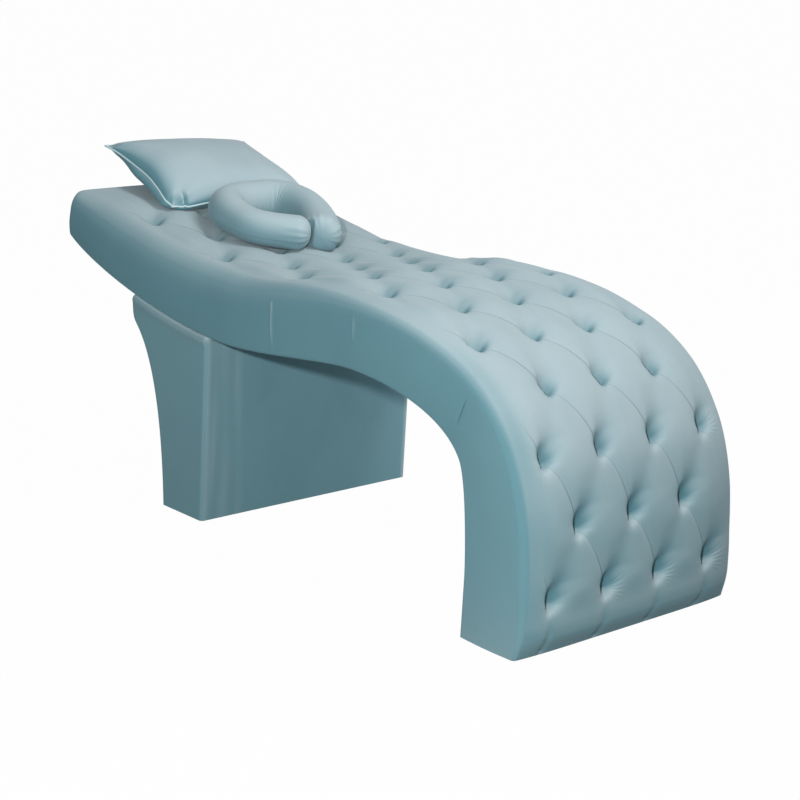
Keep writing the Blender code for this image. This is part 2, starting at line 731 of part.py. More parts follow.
def bolt(number, spot, tilt, grip, tip):
    """A hex bolt whose head bears on the pedestal's top plate from below."""
    shape = bmesh.new()
    cylinder(shape, BOLT_HEAD_RADIUS, -grip - GAP - BOLT_HEAD_HEIGHT, -grip - GAP, HEX)
    piece = mesh_piece(f"pedestal_bolt_{number}", shape, steel)
    shank = bmesh.new()
    cylinder(shank, BOLT_RADIUS, -grip - GAP - BOLT_HEAD_HEIGHT / 2, tip, BOLT_SEGMENTS)
    stem = as_cutter(mesh_piece(f"bolt_stem_{number}", shank, None))
    for made in (piece, stem):
        made.location = spot
        made.rotation_euler.y = tilt
    cut(piece, stem, "UNION")


# Loose pieces
def rest_slope(x, half):
    """Slope of the bed's top line under a loose piece."""
    reach = np.clip((x - half, x + half), 0, DIP_X)
    heights = np.interp(reach, top_line.points[:, 0], top_line.points[:, 1])
    return math.atan2(heights[1] - heights[0], reach[1] - reach[0])


def settle(joint, piece, bed_top):
    """Lower a loose piece from above until it lies on the tufted top."""
    bpy.context.view_layer.update()
    trees, points = [], []
    for lying in (piece, bed_top):
        places = [lying.matrix_world @ vert.co for vert in lying.data.vertices]
        ends = [(places[link.vertices[0]], places[link.vertices[1]]) for link in lying.data.edges]
        points.append(places + [first.lerp(second, share) for first, second in ends for share in EDGE_SHARES])
        trees.append(BVHTree.FromPolygons(places, [face.vertices for face in lying.data.polygons]))
    falls = [trees[1].ray_cast(point, Vector((0, 0, -1))) for point in points[0]]
    falls += [trees[0].ray_cast(point, Vector((0, 0, 1))) for point in points[1]]
    joint.location.z -= min(fall[3] for fall in falls if fall[0]) - REST_GAP


def soft_grid(columns, rows, place):
    """A grid whose corners span -1 to 1 both ways, each point moved to its place."""
    shape = bmesh.new()
    grid = bmesh.ops.create_grid(shape, x_segments=columns, y_segments=rows, size=1)
    for vert in grid["verts"]:
        vert.co = place(vert.co.x, vert.co.y)
    return shape


def pillow_outline(p, q, trim):
    """Place in the seam plane: the sides draw in between the eared corners."""
    x = p * (PILLOW_DEPTH / 2 * (1 - PILLOW_WAIST * (1 - q * q)) - trim)
    y = q * (PILLOW_WIDTH / 2 * (1 - PILLOW_WAIST * (1 - p * p)) - trim)
    return x, y


def pillow_swell(p, q):
    return math.sqrt(max((1 - p * p) * (1 - q * q), 0))


def crowd(value):
    """Spread grid points so that they crowd towards the edges, where a pillow turns most."""
    return math.sin(value * math.pi / 2)


def pillow(bed_top):
    joint = joint_empty("pillow_joint", (PILLOW_X, PILLOW_Y, 2 * HEAD_HEIGHT))
    joint.rotation_euler.y = PILLOW_LEAN - rest_slope(PILLOW_X, PILLOW_DEPTH / 2)
    edge_trim = 2 * PIPING_RADIUS + REST_GAP + GAP
    lean = math.tan(PILLOW_LEAN)

    def floor_at(x):
        return -PILLOW_SEAM_HEIGHT / math.cos(PILLOW_LEAN) + x * lean

    def upper(p, q, trim=edge_trim, ease=0.0):
        p, q = crowd(p), crowd(q)
        x, y = pillow_outline(p, q, trim)
        return x, y, CLOTH + GAP + (PILLOW_CROWN - ease) * pillow_swell(p, q)

    def lower(p, q, trim=edge_trim, ease=0.0):
        p, q = crowd(p), crowd(q)
        x, y = pillow_outline(p, q, trim)
        belly = (PILLOW_CROWN - ease) * pillow_swell(p, q)
        return x, y, -CLOTH - GAP - min(belly, max(-floor_at(x) - CLOTH - GAP - ease, 0))

    cloth_panel("pillow_upper_panel", soft_grid(*PILLOW_STEPS, upper), 1, joint)
    lying = cloth_panel("pillow_lower_panel", soft_grid(*PILLOW_STEPS, lower), -1, joint)
    inner = edge_trim + 2 * (CLOTH + FILL_EASE)
    ease = CLOTH + FILL_EASE
    filling = closed_pair(lambda p, q: upper(p, q, inner, ease), lambda p, q: lower(p, q, inner, ease))
    mesh_piece("pillow_filling", filling, wadding, joint, SMOOTH_ANGLE)
    pillow_piping(joint)
    settle(joint, lying, bed_top)


def cloth_panel(name, shape, facing, parent):
    """A sewn panel: an open sheet that faces up (1) or down (-1), thickened inwards."""
    shape.normal_update()
    if facing * sum(face.normal.z * face.calc_area() for face in shape.faces) < 0:
        bmesh.ops.reverse_faces(shape, faces=shape.faces)
    mesh = bpy.data.meshes.new(name)
    shape.to_mesh(mesh)
    shape.free()
    mesh.shade_smooth()
    panel = add(name, mesh, velvet, parent)
    modifier = panel.modifiers.new("cloth", "SOLIDIFY")
    modifier.thickness = CLOTH
    modifier.offset = -1
    return panel


def closed_pair(upper, lower):
    """Two facing grids joined along their edges into one body."""
    columns, rows = PILLOW_STEPS
    shape = soft_grid(columns, rows, upper)
    edge = [link for link in shape.edges if link.is_boundary]
    second = bmesh.ops.create_grid(shape, x_segments=columns, y_segments=rows, size=1)
    for vert in second["verts"]:
        vert.co = lower(vert.co.x, vert.co.y)
    other = [link for link in shape.edges if link.is_boundary and link not in edge]
    bmesh.ops.bridge_loops(shape, edges=edge + other)
    return shape


def pillow_piping(joint):
    """A round cord along the seam, out to the ears."""
    curve = bpy.data.curves.new("pillow_piping", "CURVE")
    curve.dimensions = "3D"
    curve.bevel_depth = PIPING_RADIUS
    curve.bevel_resolution = 1
    ends, sides = ([crowd(-1 + 2 * step / count) for step in range(count)] for count in PILLOW_STEPS)
    ring = [(p, -1) for p in ends] + [(1, q) for q in sides]
    ring += [(-p, -q) for p, q in ring]
    spline = curve.splines.new("POLY")
    spline.points.add(len(ring) - 1)
    spline.use_cyclic_u = True
    for point, (p, q) in zip(spline.points, ring):
        point.co = (*pillow_outline(p, q, PIPING_RADIUS), 0, 1)
    add("pillow_piping", curve, piping_cloth, joint)


def neck_pillow(bed_top):
    half_x, half_y = NECK_LENGTH / 2, NECK_WIDTH / 2
    joint = joint_empty("neck_pillow_joint", (NECK_X, NECK_Y, 2 * HEAD_HEIGHT))
    joint.rotation_euler.y = -rest_slope(NECK_X, half_x)
    height = NECK_TUBE - NECK_FLAT
    sweep = math.pi - NECK_OPENING

    def ring(along, angle, ease):
        """A point of the tube: along runs from tip to tip, angle round the section."""
        cosine, sine = math.cos(along * sweep), math.sin(along * sweep)
        centre = Vector((-cosine * (half_x - NECK_TUBE), sine * (half_y - NECK_TUBE), 0))
        outward = Vector((-cosine * half_y, sine * half_x, 0)).normalized()
        swell = math.sqrt(max(1 - abs(along) ** NECK_BLUNTNESS, 0))
        radius = NECK_TIP + (NECK_TUBE - NECK_TIP) * swell - ease
        point = centre + radius * (math.cos(angle) * outward + math.sin(angle) * Vector((0, 0, 1)))
        point.z = max(point.z, ease - height)
        return point

    seam = GAP / NECK_TIP
    steps, sides = NECK_STEPS

    def station(p):
        return p + NECK_CROWDING * (crowd(p) - p)

    def upper(p, q):
        return ring(station(p), seam + (math.pi - 2 * seam) * (q + 1) / 2, 0)

    def lower(p, q):
        return ring(station(p), math.pi + seam + (math.pi - 2 * seam) * (q + 1) / 2, 0)

    cloth_panel("neck_pillow_upper_panel", soft_grid(steps, sides, upper), 1, joint)
    lying = cloth_panel("neck_pillow_lower_panel", soft_grid(steps, sides, lower), -1, joint)
    core = bmesh.new()
    rings = []
    for step in range(steps + 1):
        along = station(-1 + 2 * step / steps)
        angles = [2 * math.pi * index / (2 * sides) for index in range(2 * sides)]
        rings.append([core.verts.new(ring(along, angle, CLOTH + FILL_EASE)) for angle in angles])
    for first, second in zip(rings, rings[1:]):
        for index in range(2 * sides):
            after = (index + 1) % (2 * sides)
            core.faces.new((first[index], first[after], second[after], second[index]))
    core.faces.new(rings[0])
    core.faces.new(rings[-1])
    mesh_piece("neck_pillow_filling", core, wadding, joint, SMOOTH_ANGLE)
    settle(joint, lying, bed_top)


def centre_on_footprint():
    """Put the origin on the floor under the middle of the whole."""
    bpy.context.view_layer.update()
    graph = bpy.context.evaluated_depsgraph_get()
    reach = []
    for piece in parts.objects:
        if piece.type == "EMPTY":
            continue
        evaluated = piece.evaluated_get(graph)
        reach += [(evaluated.matrix_world @ vert.co).x for vert in evaluated.to_mesh().vertices]
        evaluated.to_mesh_clear()
    root.location.x = -(min(reach) + max(reach)) / 2


rib, soffit, under_cover = bed()
bed_top = tufted_top()
top_plate = pedestal()
bolts(rib, (top_plate, under_cover, soffit))
foot_glides()
pillow(bed_top)
neck_pillow(bed_top)
centre_on_footprint()
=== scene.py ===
"""Looks of the facial bed: velvet upholstery, loose pillows, hidden frame, light and camera."""
import json
import math

import bmesh
import bpy
import numpy as np
from mathutils import Matrix, Vector
from mathutils.bvhtree import BVHTree
from mathutils.geometry import interpolate_bezier

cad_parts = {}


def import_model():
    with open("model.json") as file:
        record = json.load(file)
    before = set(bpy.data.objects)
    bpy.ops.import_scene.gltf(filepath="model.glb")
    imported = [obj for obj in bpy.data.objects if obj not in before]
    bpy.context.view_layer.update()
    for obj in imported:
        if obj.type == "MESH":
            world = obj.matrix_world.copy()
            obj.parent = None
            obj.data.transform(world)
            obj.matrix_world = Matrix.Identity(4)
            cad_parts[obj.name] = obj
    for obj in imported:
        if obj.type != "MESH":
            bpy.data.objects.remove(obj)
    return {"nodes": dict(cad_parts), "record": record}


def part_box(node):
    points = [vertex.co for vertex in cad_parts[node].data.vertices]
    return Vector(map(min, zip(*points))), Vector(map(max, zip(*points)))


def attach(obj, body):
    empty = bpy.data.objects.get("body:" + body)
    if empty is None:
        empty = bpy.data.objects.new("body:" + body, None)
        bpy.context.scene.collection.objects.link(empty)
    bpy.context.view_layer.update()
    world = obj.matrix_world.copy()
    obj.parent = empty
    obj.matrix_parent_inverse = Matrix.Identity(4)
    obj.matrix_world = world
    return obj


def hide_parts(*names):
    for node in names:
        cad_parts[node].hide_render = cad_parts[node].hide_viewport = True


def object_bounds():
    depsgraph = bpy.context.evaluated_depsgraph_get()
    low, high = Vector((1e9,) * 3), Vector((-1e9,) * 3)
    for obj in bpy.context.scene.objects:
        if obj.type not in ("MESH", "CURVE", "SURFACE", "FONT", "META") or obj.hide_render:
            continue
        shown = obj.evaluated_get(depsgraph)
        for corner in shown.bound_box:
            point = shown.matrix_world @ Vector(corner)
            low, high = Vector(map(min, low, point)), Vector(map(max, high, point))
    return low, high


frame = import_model()
cad_low, cad_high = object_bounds()

# Places read from the frame
HEAD_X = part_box("head_cover")[0].x
PEDESTAL_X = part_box("pedestal_cover")[1].x
BED_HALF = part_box("tufted_top")[1].y
SIDE_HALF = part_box("side_cover_left")[1].y

# Top edge line of the bed, seen from the side, from the head end
HEAD_HEIGHT = 0.775
HEAD_SLOPE = math.radians(-18.6)
DIP_X, DIP_HEIGHT = 0.725, 0.651
HUMP_X, HUMP_HEIGHT = 1.10, 0.6865
FOOT_REACH = 1.771
FOOT_BULGE_HEIGHT = 0.08
FOOT_TUCK = 0.012
FOOT_TUCK_SLOPE = math.radians(-99)
PLUMB_DOWN = math.radians(-90)

# Bottom edge line, measured from the top edge line
HEAD_THICKNESS = 0.124
BELLY_SLOPE = math.radians(-36.8)
BELLY_SETBACK = 0.025
DIP_THICKNESS = 0.165
ARCH_LEAD = 0.065
HUMP_THICKNESS = 0.159
HAUNCH_DEPTH, HAUNCH_DROP = 0.227, 0.2815
HAUNCH_SLOPE = math.radians(-57)
HAUNCH_SHARE = 0.6
FOOT_THICKNESS = 0.187
INNER_FOOT_HEIGHT = 0.14
HEM_LIFT = 0.001

# Upholstery of the top and the sides
STATION = 0.004
GATHERED = 0.5
CROWN, CROWN_POWER, CROWN_AT_HEM = 0.0235, 6.0, 0.3
CROWN_HEM_OVER, CROWN_HEAD_OVER = (0, 0.05), (-0.02, 0.20)
EDGE_AT_HEM, EDGE_AT_FOOT, EDGE_AT_HEAD = 0.008, 0.018, 0.056
EDGE_FOOT_OVER, EDGE_HEAD_OVER = (0, 0.2), (0.9, 1.8)
HEAD_ROUND, HEAD_LEAN, HEAD_LEAN_OVER = 0.030, 0.008, (0, 0.15)
HEM_ROUND, CORNER_ROUND, LOWER_EDGE_ROUND = 0.005, 0.016, 0.006
SIDE_BULGE = 0.003
LIP, LIP_RISE = 0.012, 0.003
END_TURN_OVER = (0, 0.18)
EDGE_STEPS, SIDE_STEPS = 8, 24
HAIR = 0.001
SHARP_ANGLE = math.radians(70)

# Tufts
TUFTS_WIDE, TUFT_ROWS = 4, 13
TUFT_SPACING, TUFT_PITCH, TUFT_FIRST = 0.177, 0.1545, 0.121
OUTER_TUFT = (TUFTS_WIDE - 1) / 2 * TUFT_SPACING
TUFT_SWAY, SWAY_OVER = 0.020, (TUFT_FIRST + TUFT_PITCH, TUFT_FIRST + 2.5 * TUFT_PITCH)
TUFT_DEPTH, TUFT_HEM_OVER = 0.028, (0, 0.012)
TUFT_NEAR, TUFT_FAR = 0.0125, 0.036
TUFT_ABOVE, TUFT_BELOW = 0.050, 0.013
TUFT_LEAN, TUFT_BULGE, TUFT_SLANT = 0.2, 0.009, 0.5
PULL_POWER, PULL_SHARE = 1.7, 0.6
# Painted shade in the tuft pockets: width, height and rise of the darkened patch, and its fades
POCKET_WIDTH, POCKET_HEIGHT, POCKET_RISE = 0.028, 0.032, 0.010
POCKET_SIDE_OVER, POCKET_FLOOR_OVER = (-0.008, 0.001), (-0.022, -0.008)
PUCKER_LINES = 30.0
PUCKER_NEAR_OVER, PUCKER_FAR_OVER = (0.020, 0.034), (0.040, 0.072)
PUCKER_SIDE_OVER, PUCKER_SPREAD_OVER = (0.006, 0.020), (0.6, 1.1)
BUTTON_RADIUS, BUTTON_HEIGHT, BUTTON_SINK = 0.0085, 0.0035, 0.0015
BUTTON_SIDES, BUTTON_ANGLES = 16, np.radians((0, 30, 55, 75, 90, 115))

# Pads, pleats and valleys between the tufts
CREASE_DEPTH, CREASE_AT_TUFT = 0.0012, 0.0022
CREASE_STEEP, CREASE_SOFT = 0.008, 0.020
CREASE_BOW, CREASE_BOW_POWER = 0.075, 0.75
VALLEY_DEPTH, VALLEY_WIDTH = 0.0012, 0.022
PUFF, HEAD_FULLER, HEAD_FULLER_OVER = 0.002, 2.0, (0.6, 1.0)
PADS_SIDE_OVER = (OUTER_TUFT, OUTER_TUFT + 0.05)
PADS_FOOT_OVER = (TUFT_FIRST - 0.03, TUFT_FIRST + 0.03)
HEM_VALLEY_DEPTH, HEM_VALLEY_WIDTH, HEM_VALLEY_OVER = 0.0045, 0.012, (0.02, TUFT_FIRST)
# Painted shade along the pleats' folds: width of the dark line, its least strength, and its fades
FOLD_WIDTH, FOLD_LEAST = 0.0014, 0.35
FOLD_STEP_OVER, FOLD_DIMPLE_OVER = (0.15, 0.75), (0.25, 0.6)

# Seams and small pleats of the sides
SIDE_MARKS = (
    # x, top, bottom, lean, height of the ridge
    (0.884, 0.664, 0.505, 0.06, 0.0019),
    (1.182, 0.655, 0.597, 0.07, 0.0014),
    (1.083, 0.521, 0.481, 0.07, 0.0014),
    (1.549, 0.545, 0.486, -0.38, -0.0016),
)
# MARK_FULL is the ridge height at which a ridge is fully painted as a highlight
MARK_WIDTH, MARK_FULL, MARK_SPREAD = 0.004, 0.0024, 4
MARK_RUN_OUT, MARK_TOP_FADE, MARK_LOW_SHARE = 0.01, 0.015, 0.35

# Painted light and shade on the bed's velvet: where it is painted paler or duller
# Painted highlight over the side edges of the top, rising and then falling off as the edge turns down
EDGE_GLOW, EDGE_GLOW_OVER = 0.60, (0.3, 0.8)
GLOW_RISE_OVER, GLOW_FALL_OVER, GLOW_FALL = (5, 50), (50, 90), 0.6
# Painted highlight on the side just under the top edge
SIDE_GLOW, SIDE_GLOW_DEPTH = 0.4, 0.022
# Painted light on the foot's sides, strongest near the floor
FOOT_SIDE_PALE, FOOT_SIDE_OVER = 0.22, (0.45, 0.75)
FOOT_LOW_PALE, FOOT_LOW_DEPTH = 0.50, 0.14
# Painted light low on the foot's front
FRONT_PALE, FRONT_OVER = 0.22, (0.45, 0.60)
FRONT_LOW_OVER, FRONT_HIGH_OVER = (0.04, 0.14), (0.18, 0.32)
# Painted shade along the right margin of the foot's top
MARGIN_DULL, MARGIN_AT, MARGIN_WIDTH = 0.50, 0.035, 0.030
MARGIN_FOOT_OVER, MARGIN_HEAD_OVER = (0.34, 0.50), (0.66, 0.85)

# Under cover and head cover
UNDER_STEPS, UNDER_COLUMNS = 260, 49
UNDER_SAG, UNDER_THICKNESS, UNDER_GAP = 0.0012, 0.002, 0.001
PANEL_ROWS, PANEL_COLUMNS = 33, 81
PANEL_SWELL, PANEL_THICKNESS, PANEL_LAP = 0.003, 0.003, 0.004
SWELL_POWER_UP, SWELL_POWER_ACROSS = 6, 12

# Pedestal sleeve
PEDESTAL_FRONT = 0.627
PEDESTAL_BASE_DEPTH, PEDESTAL_TOP_DEPTH = 0.1706, 0.326
REAR_RISE = math.radians(94)
FLARE_DEPTH, FLARE_DROP = 0.310, 0.077
FLARE_SLOPE = math.radians(137)
NOSE_DROP = 0.033
NOSE_TURN = math.radians(62)
SLEEVE_CORNER, SLEEVE_TUCK = 0.010, 0.001
ROLL, ROLL_WIDTH, ROLL_PINCH = 0.004, 0.012, 0.004
# Painted light on the sleeve: sides and rounded corners painted paler, the front painted darker (painted
# shade), and a painted highlight along the rim under the roll
SLEEVE_SIDE_PALE, SLEEVE_CORNER_PALE, SLEEVE_FRONT_PALE = 0.42, 0.25, -0.22
RIM_PALE, RIM_AT, RIM_WIDTH = 0.35, 0.010, 0.011
SLEEVE_FRONT_STEPS, SLEEVE_SIDE_STEPS, SLEEVE_CORNER_STEPS = 60, 30, 6
SLEEVE_LEVELS, RIM_LEVELS, RIM_SHARE, RIM_START = 70, 14, 0.03, 0.1
SLEEVE_RIPPLES = (
    # y, width, height, share of painted highlight
    (-0.334, 0.014, 0.0008, 0.46),
    (-0.294, 0.018, 0.0006, 0.36),
    (-0.246, 0.012, 0.0006, 0.36),
)
RIPPLE_WANDER, RIPPLE_WAVES, RIPPLE_SHIFT, RIPPLE_FADE = 0.008, 7, 20, 0.3

# Velvet
# TEAL is the velvet's own colour; PALE_TEAL is the painted highlight it turns to where it faces the light
TEAL, PALE_TEAL = (0.105, 0.229, 0.270), (0.340, 0.428, 0.458)
NECK_TEAL = (0.165, 0.285, 0.325)
# The piping is painted lighter than the case: a painted highlight along the thin round welt
PIPING_TEAL, PIPING_PALE = (0.40, 0.54, 0.58), (0.58, 0.70, 0.73)
# Painted shade tones: the pocket tone darkens tuft pockets, the fold tone darkens fold lines; the mottle tone
# is the velvet's own uneven tone
POCKET_SHADE_TONE, FOLD_SHADE_TONE, MOTTLE_TONE = (0.60, 0.69, 0.71), (0.42, 0.48, 0.50), (0.90, 0.91, 0.92)
WHITE = (1.0, 1.0, 1.0)
# Painted highlight: the velvet's colour turns paler the more its surface faces up along this axis, toward the
# light
PAINTED_LIGHT_AXIS = (0.42, 0.32, 0.85)
PAINTED_LIGHT_START, PILLOW_PAINTED_LIGHT_START, NECK_PAINTED_LIGHT_START, PAINTED_LIGHT_END = 0.22, 0.36, -0.30, 0.95
# Painted light and shade from a value stored per point: above nought painted paler, below nought held at the
# own colour
PAINTED_LIGHT_LIFT = 0.5
SHEEN_TINT = (0.93, 0.97, 1.0, 1)

# Camera, placed from the foot of the pedestal's front face
CAMERA_PLACE = (3.888, -3.347, 1.668)
CAMERA_AZIMUTH = math.radians(46.65)
CAMERA_ELEVATION = math.radians(15.06)
CAMERA_ROLL = math.radians(3.24)
CAMERA_LENS, CAMERA_SENSOR = 89.8, 36


class Line:
    """A smooth line in a plane, read by arc length, through knots of two places, an angle and two eases."""

    STEPS = 160

    def __init__(self, knots):
        points = []
        self.knot_arcs = [0.0]
        for start, end in zip(knots, knots[1:]):
            first, last = Vector(start[:2]), Vector(end[:2])
            chord = (last - first).length
            leave = Vector((math.cos(start[2]), math.sin(start[2]))) * start[4] * chord
            arrive = Vector((math.cos(end[2]), math.sin(end[2]))) * end[3] * chord
            curve = np.array(interpolate_bezier(first, first + leave, last - arrive, last, self.STEPS + 1))
            self.knot_arcs.append(self.knot_arcs[-1] + np.hypot(*np.diff(curve, axis=0).T).sum())
            points.append(curve[bool(points):])
        self.points = np.concatenate(points)
        self.arcs = np.concatenate(([0], np.cumsum(np.hypot(*np.diff(self.points, axis=0).T))))
        self.length = self.arcs[-1]
        self.runs = np.gradient(self.points, self.arcs, axis=0)

    def at(self, arcs):
        return np.stack([np.interp(arcs, self.arcs, self.points[:, axis]) for axis in (0, 1)], axis=-1)

    def right(self, arcs):
        along = np.stack([np.interp(arcs, self.arcs, self.runs[:, axis]) for axis in (0, 1)], axis=-1)
        along /= np.linalg.norm(along, axis=-1, keepdims=True)
        return np.stack((along[..., 1], -along[..., 0]), axis=-1)


top_line = Line([
    (0, HEAD_HEIGHT, HEAD_SLOPE, 0, 0.306),
    (DIP_X, DIP_HEIGHT, 0, 0.345, 0.289),
    (HUMP_X, HUMP_HEIGHT, 0, 0.342, 0.603),
    (FOOT_REACH, FOOT_BULGE_HEIGHT, PLUMB_DOWN, 0.430, 0.33),
    (FOOT_REACH - FOOT_TUCK, 0, FOOT_TUCK_SLOPE, 0.33, 0),
])
under_line = Line([
    (0, HEAD_HEIGHT - HEAD_THICKNESS, BELLY_SLOPE, 0, 0.156),
    (DIP_X - BELLY_SETBACK, DIP_HEIGHT - DIP_THICKNESS, 0, 0.346, 0.317),
    (HUMP_X + ARCH_LEAD, HUMP_HEIGHT - HUMP_THICKNESS, 0, 0.212, 0.128),
    (FOOT_REACH - HAUNCH_DEPTH, HUMP_HEIGHT - HAUNCH_DROP, HAUNCH_SLOPE, 0.338, 0.187),
    (FOOT_REACH - FOOT_THICKNESS, INNER_FOOT_HEIGHT, PLUMB_DOWN, 0.149, 0.2),
    (FOOT_REACH - FOOT_THICKNESS, 0, PLUMB_DOWN, 0.2, 0),
])


def fade(value, over):
    """Nought at the start of a pair, one at its end, and smooth between. Such pairs are named OVER."""
    start, end = over
    share = np.clip((value - start) / (end - start), 0, 1)
    return share * share * (3 - 2 * share)


def fade_out(value, over):
    return 1 - fade(value, over)


def hill(off, width):
    """A soft bump that is one in the middle."""
    return np.exp(-(off / width) ** 2)


def under_match(arcs):
    """Arc lengths on the bottom line that face these on the top line."""
    top, under = top_line.knot_arcs, under_line.knot_arcs
    haunch = top[2] + HAUNCH_SHARE * (top[3] - top[2])
    return np.interp(arcs, [*top[:3], haunch, *top[3:]], under)


# Mesh helpers
def linked(name, data):
    piece = bpy.data.objects.new(name, data)
    bpy.context.scene.collection.objects.link(piece)
    return piece


def mesh_piece(name, points, faces, finish, body):
    mesh = bpy.data.meshes.new(name)
    mesh.from_pydata(points, [], faces)
    shape = bmesh.new()
    shape.from_mesh(mesh)
    bmesh.ops.recalc_face_normals(shape, faces=shape.faces)
    shape.to_mesh(mesh)
    shape.free()
    mesh.shade_smooth()
    mesh.set_sharp_from_angle(angle=SHARP_ANGLE)
    mesh.materials.append(finish)
    piece = linked(name, mesh)
    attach(piece, body)
    return piece


def loft_faces(count, sides):
    """Faces of a body with this many rings and points in a ring, closed at both ends."""
    index = np.arange(count * sides).reshape(count, sides)
    ahead = np.roll(index, -1, axis=1)
    faces = np.stack((index[:-1], ahead[:-1], ahead[1:], index[1:]), axis=-1).reshape(-1, 4).tolist()
    return faces + [index[0, ::-1].tolist(), index[-1].tolist()]


def loft(name, rings, finish, body):
    """A closed body lofted through rings of points."""
    rings = np.asarray(rings)
    return mesh_piece(name, rings.reshape(-1, 3), loft_faces(*rings.shape[:2]), finish, body)


def store(piece, **marks):
    """Keep a value for every point of a piece, for its material to read."""
    for name, mark in marks.items():
        piece.data.attributes.new(name, "FLOAT", "POINT").data.foreach_set("value", np.ravel(mark))


# Materials
def put(node, **values):
    """Set inputs of a node by their names."""
    for name, value in values.items():
        node.inputs[name.replace("_", " ")].default_value = value


class Nodes:
    """Short calls for building a material's nodes."""

    def __init__(self, name):
        self.material = bpy.data.materials.new(name)
        self.material.use_nodes = True
        self.tree = self.material.node_tree
        self.shader = self.tree.nodes["Principled BSDF"]
        self.place = self.add("ShaderNodeTexCoord").outputs["Object"]

    def add(self, kind, **settings):
        node = self.tree.nodes.new(kind)
        for key, value in settings.items():
            setattr(node, key, value)
        return node

    def link(self, output, socket):
        self.tree.links.new(output, socket)

    def noise(self, scale, detail=2.0, roughness=0.5, stretch=(1, 1, 1), distortion=0.0):
        mapping = self.add("ShaderNodeMapping")
        put(mapping, Scale=stretch)
        self.link(self.place, mapping.inputs["Vector"])
        node = self.add("ShaderNodeTexNoise")
        put(node, Scale=scale, Detail=detail, Roughness=roughness, Distortion=distortion)
        self.link(mapping.outputs["Vector"], node.inputs["Vector"])
        return node.outputs["Fac"]

    def ramp(self, value, *stops):
        """A colour for a value, through stops of (value, colour)."""
        node = self.add("ShaderNodeValToRGB")
        bar = node.color_ramp
        while len(bar.elements) < len(stops):
            bar.elements.new(0.5)
        for element, (at, colour) in zip(bar.elements, stops):
            element.position = at
            element.color = (*colour, 1)
        self.link(value, node.inputs["Fac"])
        return node.outputs["Color"]

    def greys(self, value, *stops):
        return self.ramp(value, *[(at, (level, level, level)) for at, level in stops])

    def multiply(self, first, second):
        node = self.add("ShaderNodeMix", data_type="RGBA", blend_type="MULTIPLY")
        node.inputs[0].default_value = 1.0
        self.link(first, node.inputs[6])
        self.link(second, node.inputs[7])
        return node.outputs[2]

    def attribute(self, name):
        return self.add("ShaderNodeAttribute", attribute_name=name).outputs["Fac"]

    def math(self, operation, *values):
        node = self.add("ShaderNodeMath", operation=operation)
        for socket, value in zip(node.inputs, values):
            if isinstance(value, float):
                socket.default_value = value
            else:
                self.link(value, socket)
        return node.outputs[0]

    def dress(self, colour, roughness):
        self.link(colour, self.shader.inputs["Base Color"])
        self.link(roughness, self.shader.inputs["Roughness"])

    def bump(self, *heights):
        """Bumps from (height output, strength, distance) in turn."""
        normal = None
        for height, strength, distance in heights:
            node = self.add("ShaderNodeBump")
            put(node, Strength=strength, Distance=distance)
            self.link(height, node.inputs["Height"])
            if normal:
                self.link(normal, node.inputs["Normal"])
            normal = node.outputs["Normal"]
        self.link(normal, self.shader.inputs["Normal"])


def shade(colour, factor):
    return tuple(min(channel * factor, 1) for channel in colour)


def velvet(name, colour, pale, sheen, painted_light_start):
    """Short-pile velvet, painted paler where it faces along the light's axis (a painted highlight), with
    painted shade in its folds and pockets, and puckers.
    """
    made = Nodes(name)
    # Painted highlight: the base colour is painted paler by how far the shading normal faces along the
    # light's axis
    turned = made.add("ShaderNodeVectorMath", operation="DOT_PRODUCT")
    turned.inputs[1].default_value = PAINTED_LIGHT_AXIS
    made.link(made.add("ShaderNodeNewGeometry").outputs["Normal"], turned.inputs[0])
    spread = made.math("SUBTRACT", turned.outputs["Value"], painted_light_start)
    spread = made.math("MAXIMUM", made.math("DIVIDE", spread, PAINTED_LIGHT_END - painted_light_start), 0.0)
    # Painted light and shade stored per point, added to the painted highlight
    lifted = made.math("MULTIPLY", made.attribute("crest"), PAINTED_LIGHT_LIFT)
    painted_light_colour = made.ramp(made.math("ADD", spread, lifted), (0.0, colour), (1.0, pale))
    painted_light_colour.node.color_ramp.interpolation = "EASE"
    patch = made.noise(scale=3.2, detail=3.0, roughness=0.55, stretch=(1, 1.6, 1), distortion=0.4)
    mottle = made.ramp(patch, (0.30, MOTTLE_TONE), (0.52, shade(WHITE, 0.97)), (0.75, WHITE))
    pile = made.noise(scale=620.0, roughness=0.6)
    grain = made.greys(pile, (0.30, 0.90), (0.70, 1.0))
    cloth = made.multiply(made.multiply(painted_light_colour, mottle), grain)

    # Painted shade: a thin dark line along folds, tucks and seams
    off = made.math("DIVIDE", made.attribute("fold"), FOLD_WIDTH)
    line = made.math("EXPONENT", made.math("MULTIPLY", made.math("MULTIPLY", off, off), -1.0))
    line = made.math("MULTIPLY", line, made.attribute("fold_mask"))
    # Painted shade: the tuft pockets darkened toward the pocket tone
    painted_pocket_shade = made.ramp(made.attribute("pocket_shade"), (0.0, WHITE), (1.0, POCKET_SHADE_TONE))
    painted_fold_shade = made.ramp(line, (0.0, WHITE), (1.0, FOLD_SHADE_TONE))
    cloth = made.multiply(made.multiply(cloth, painted_pocket_shade), painted_fold_shade)
    made.dress(cloth, made.greys(patch, (0.2, 0.72), (0.8, 0.88)))
    put(made.shader, Sheen_Weight=sheen, Sheen_Roughness=0.45, Sheen_Tint=SHEEN_TINT)
    put(made.shader, Specular_IOR_Level=0.12)

    waves = made.math("SINE", made.math("MULTIPLY", made.attribute("pucker"), PUCKER_LINES))
    puckers = made.math("MULTIPLY", waves, made.attribute("pucker_mask"))
    crumple = made.noise(scale=34.0, detail=3.0)
    made.bump((crumple, 0.10, 0.004), (puckers, 0.5, 0.0008), (pile, 0.2, 0.0005))
    return made.material


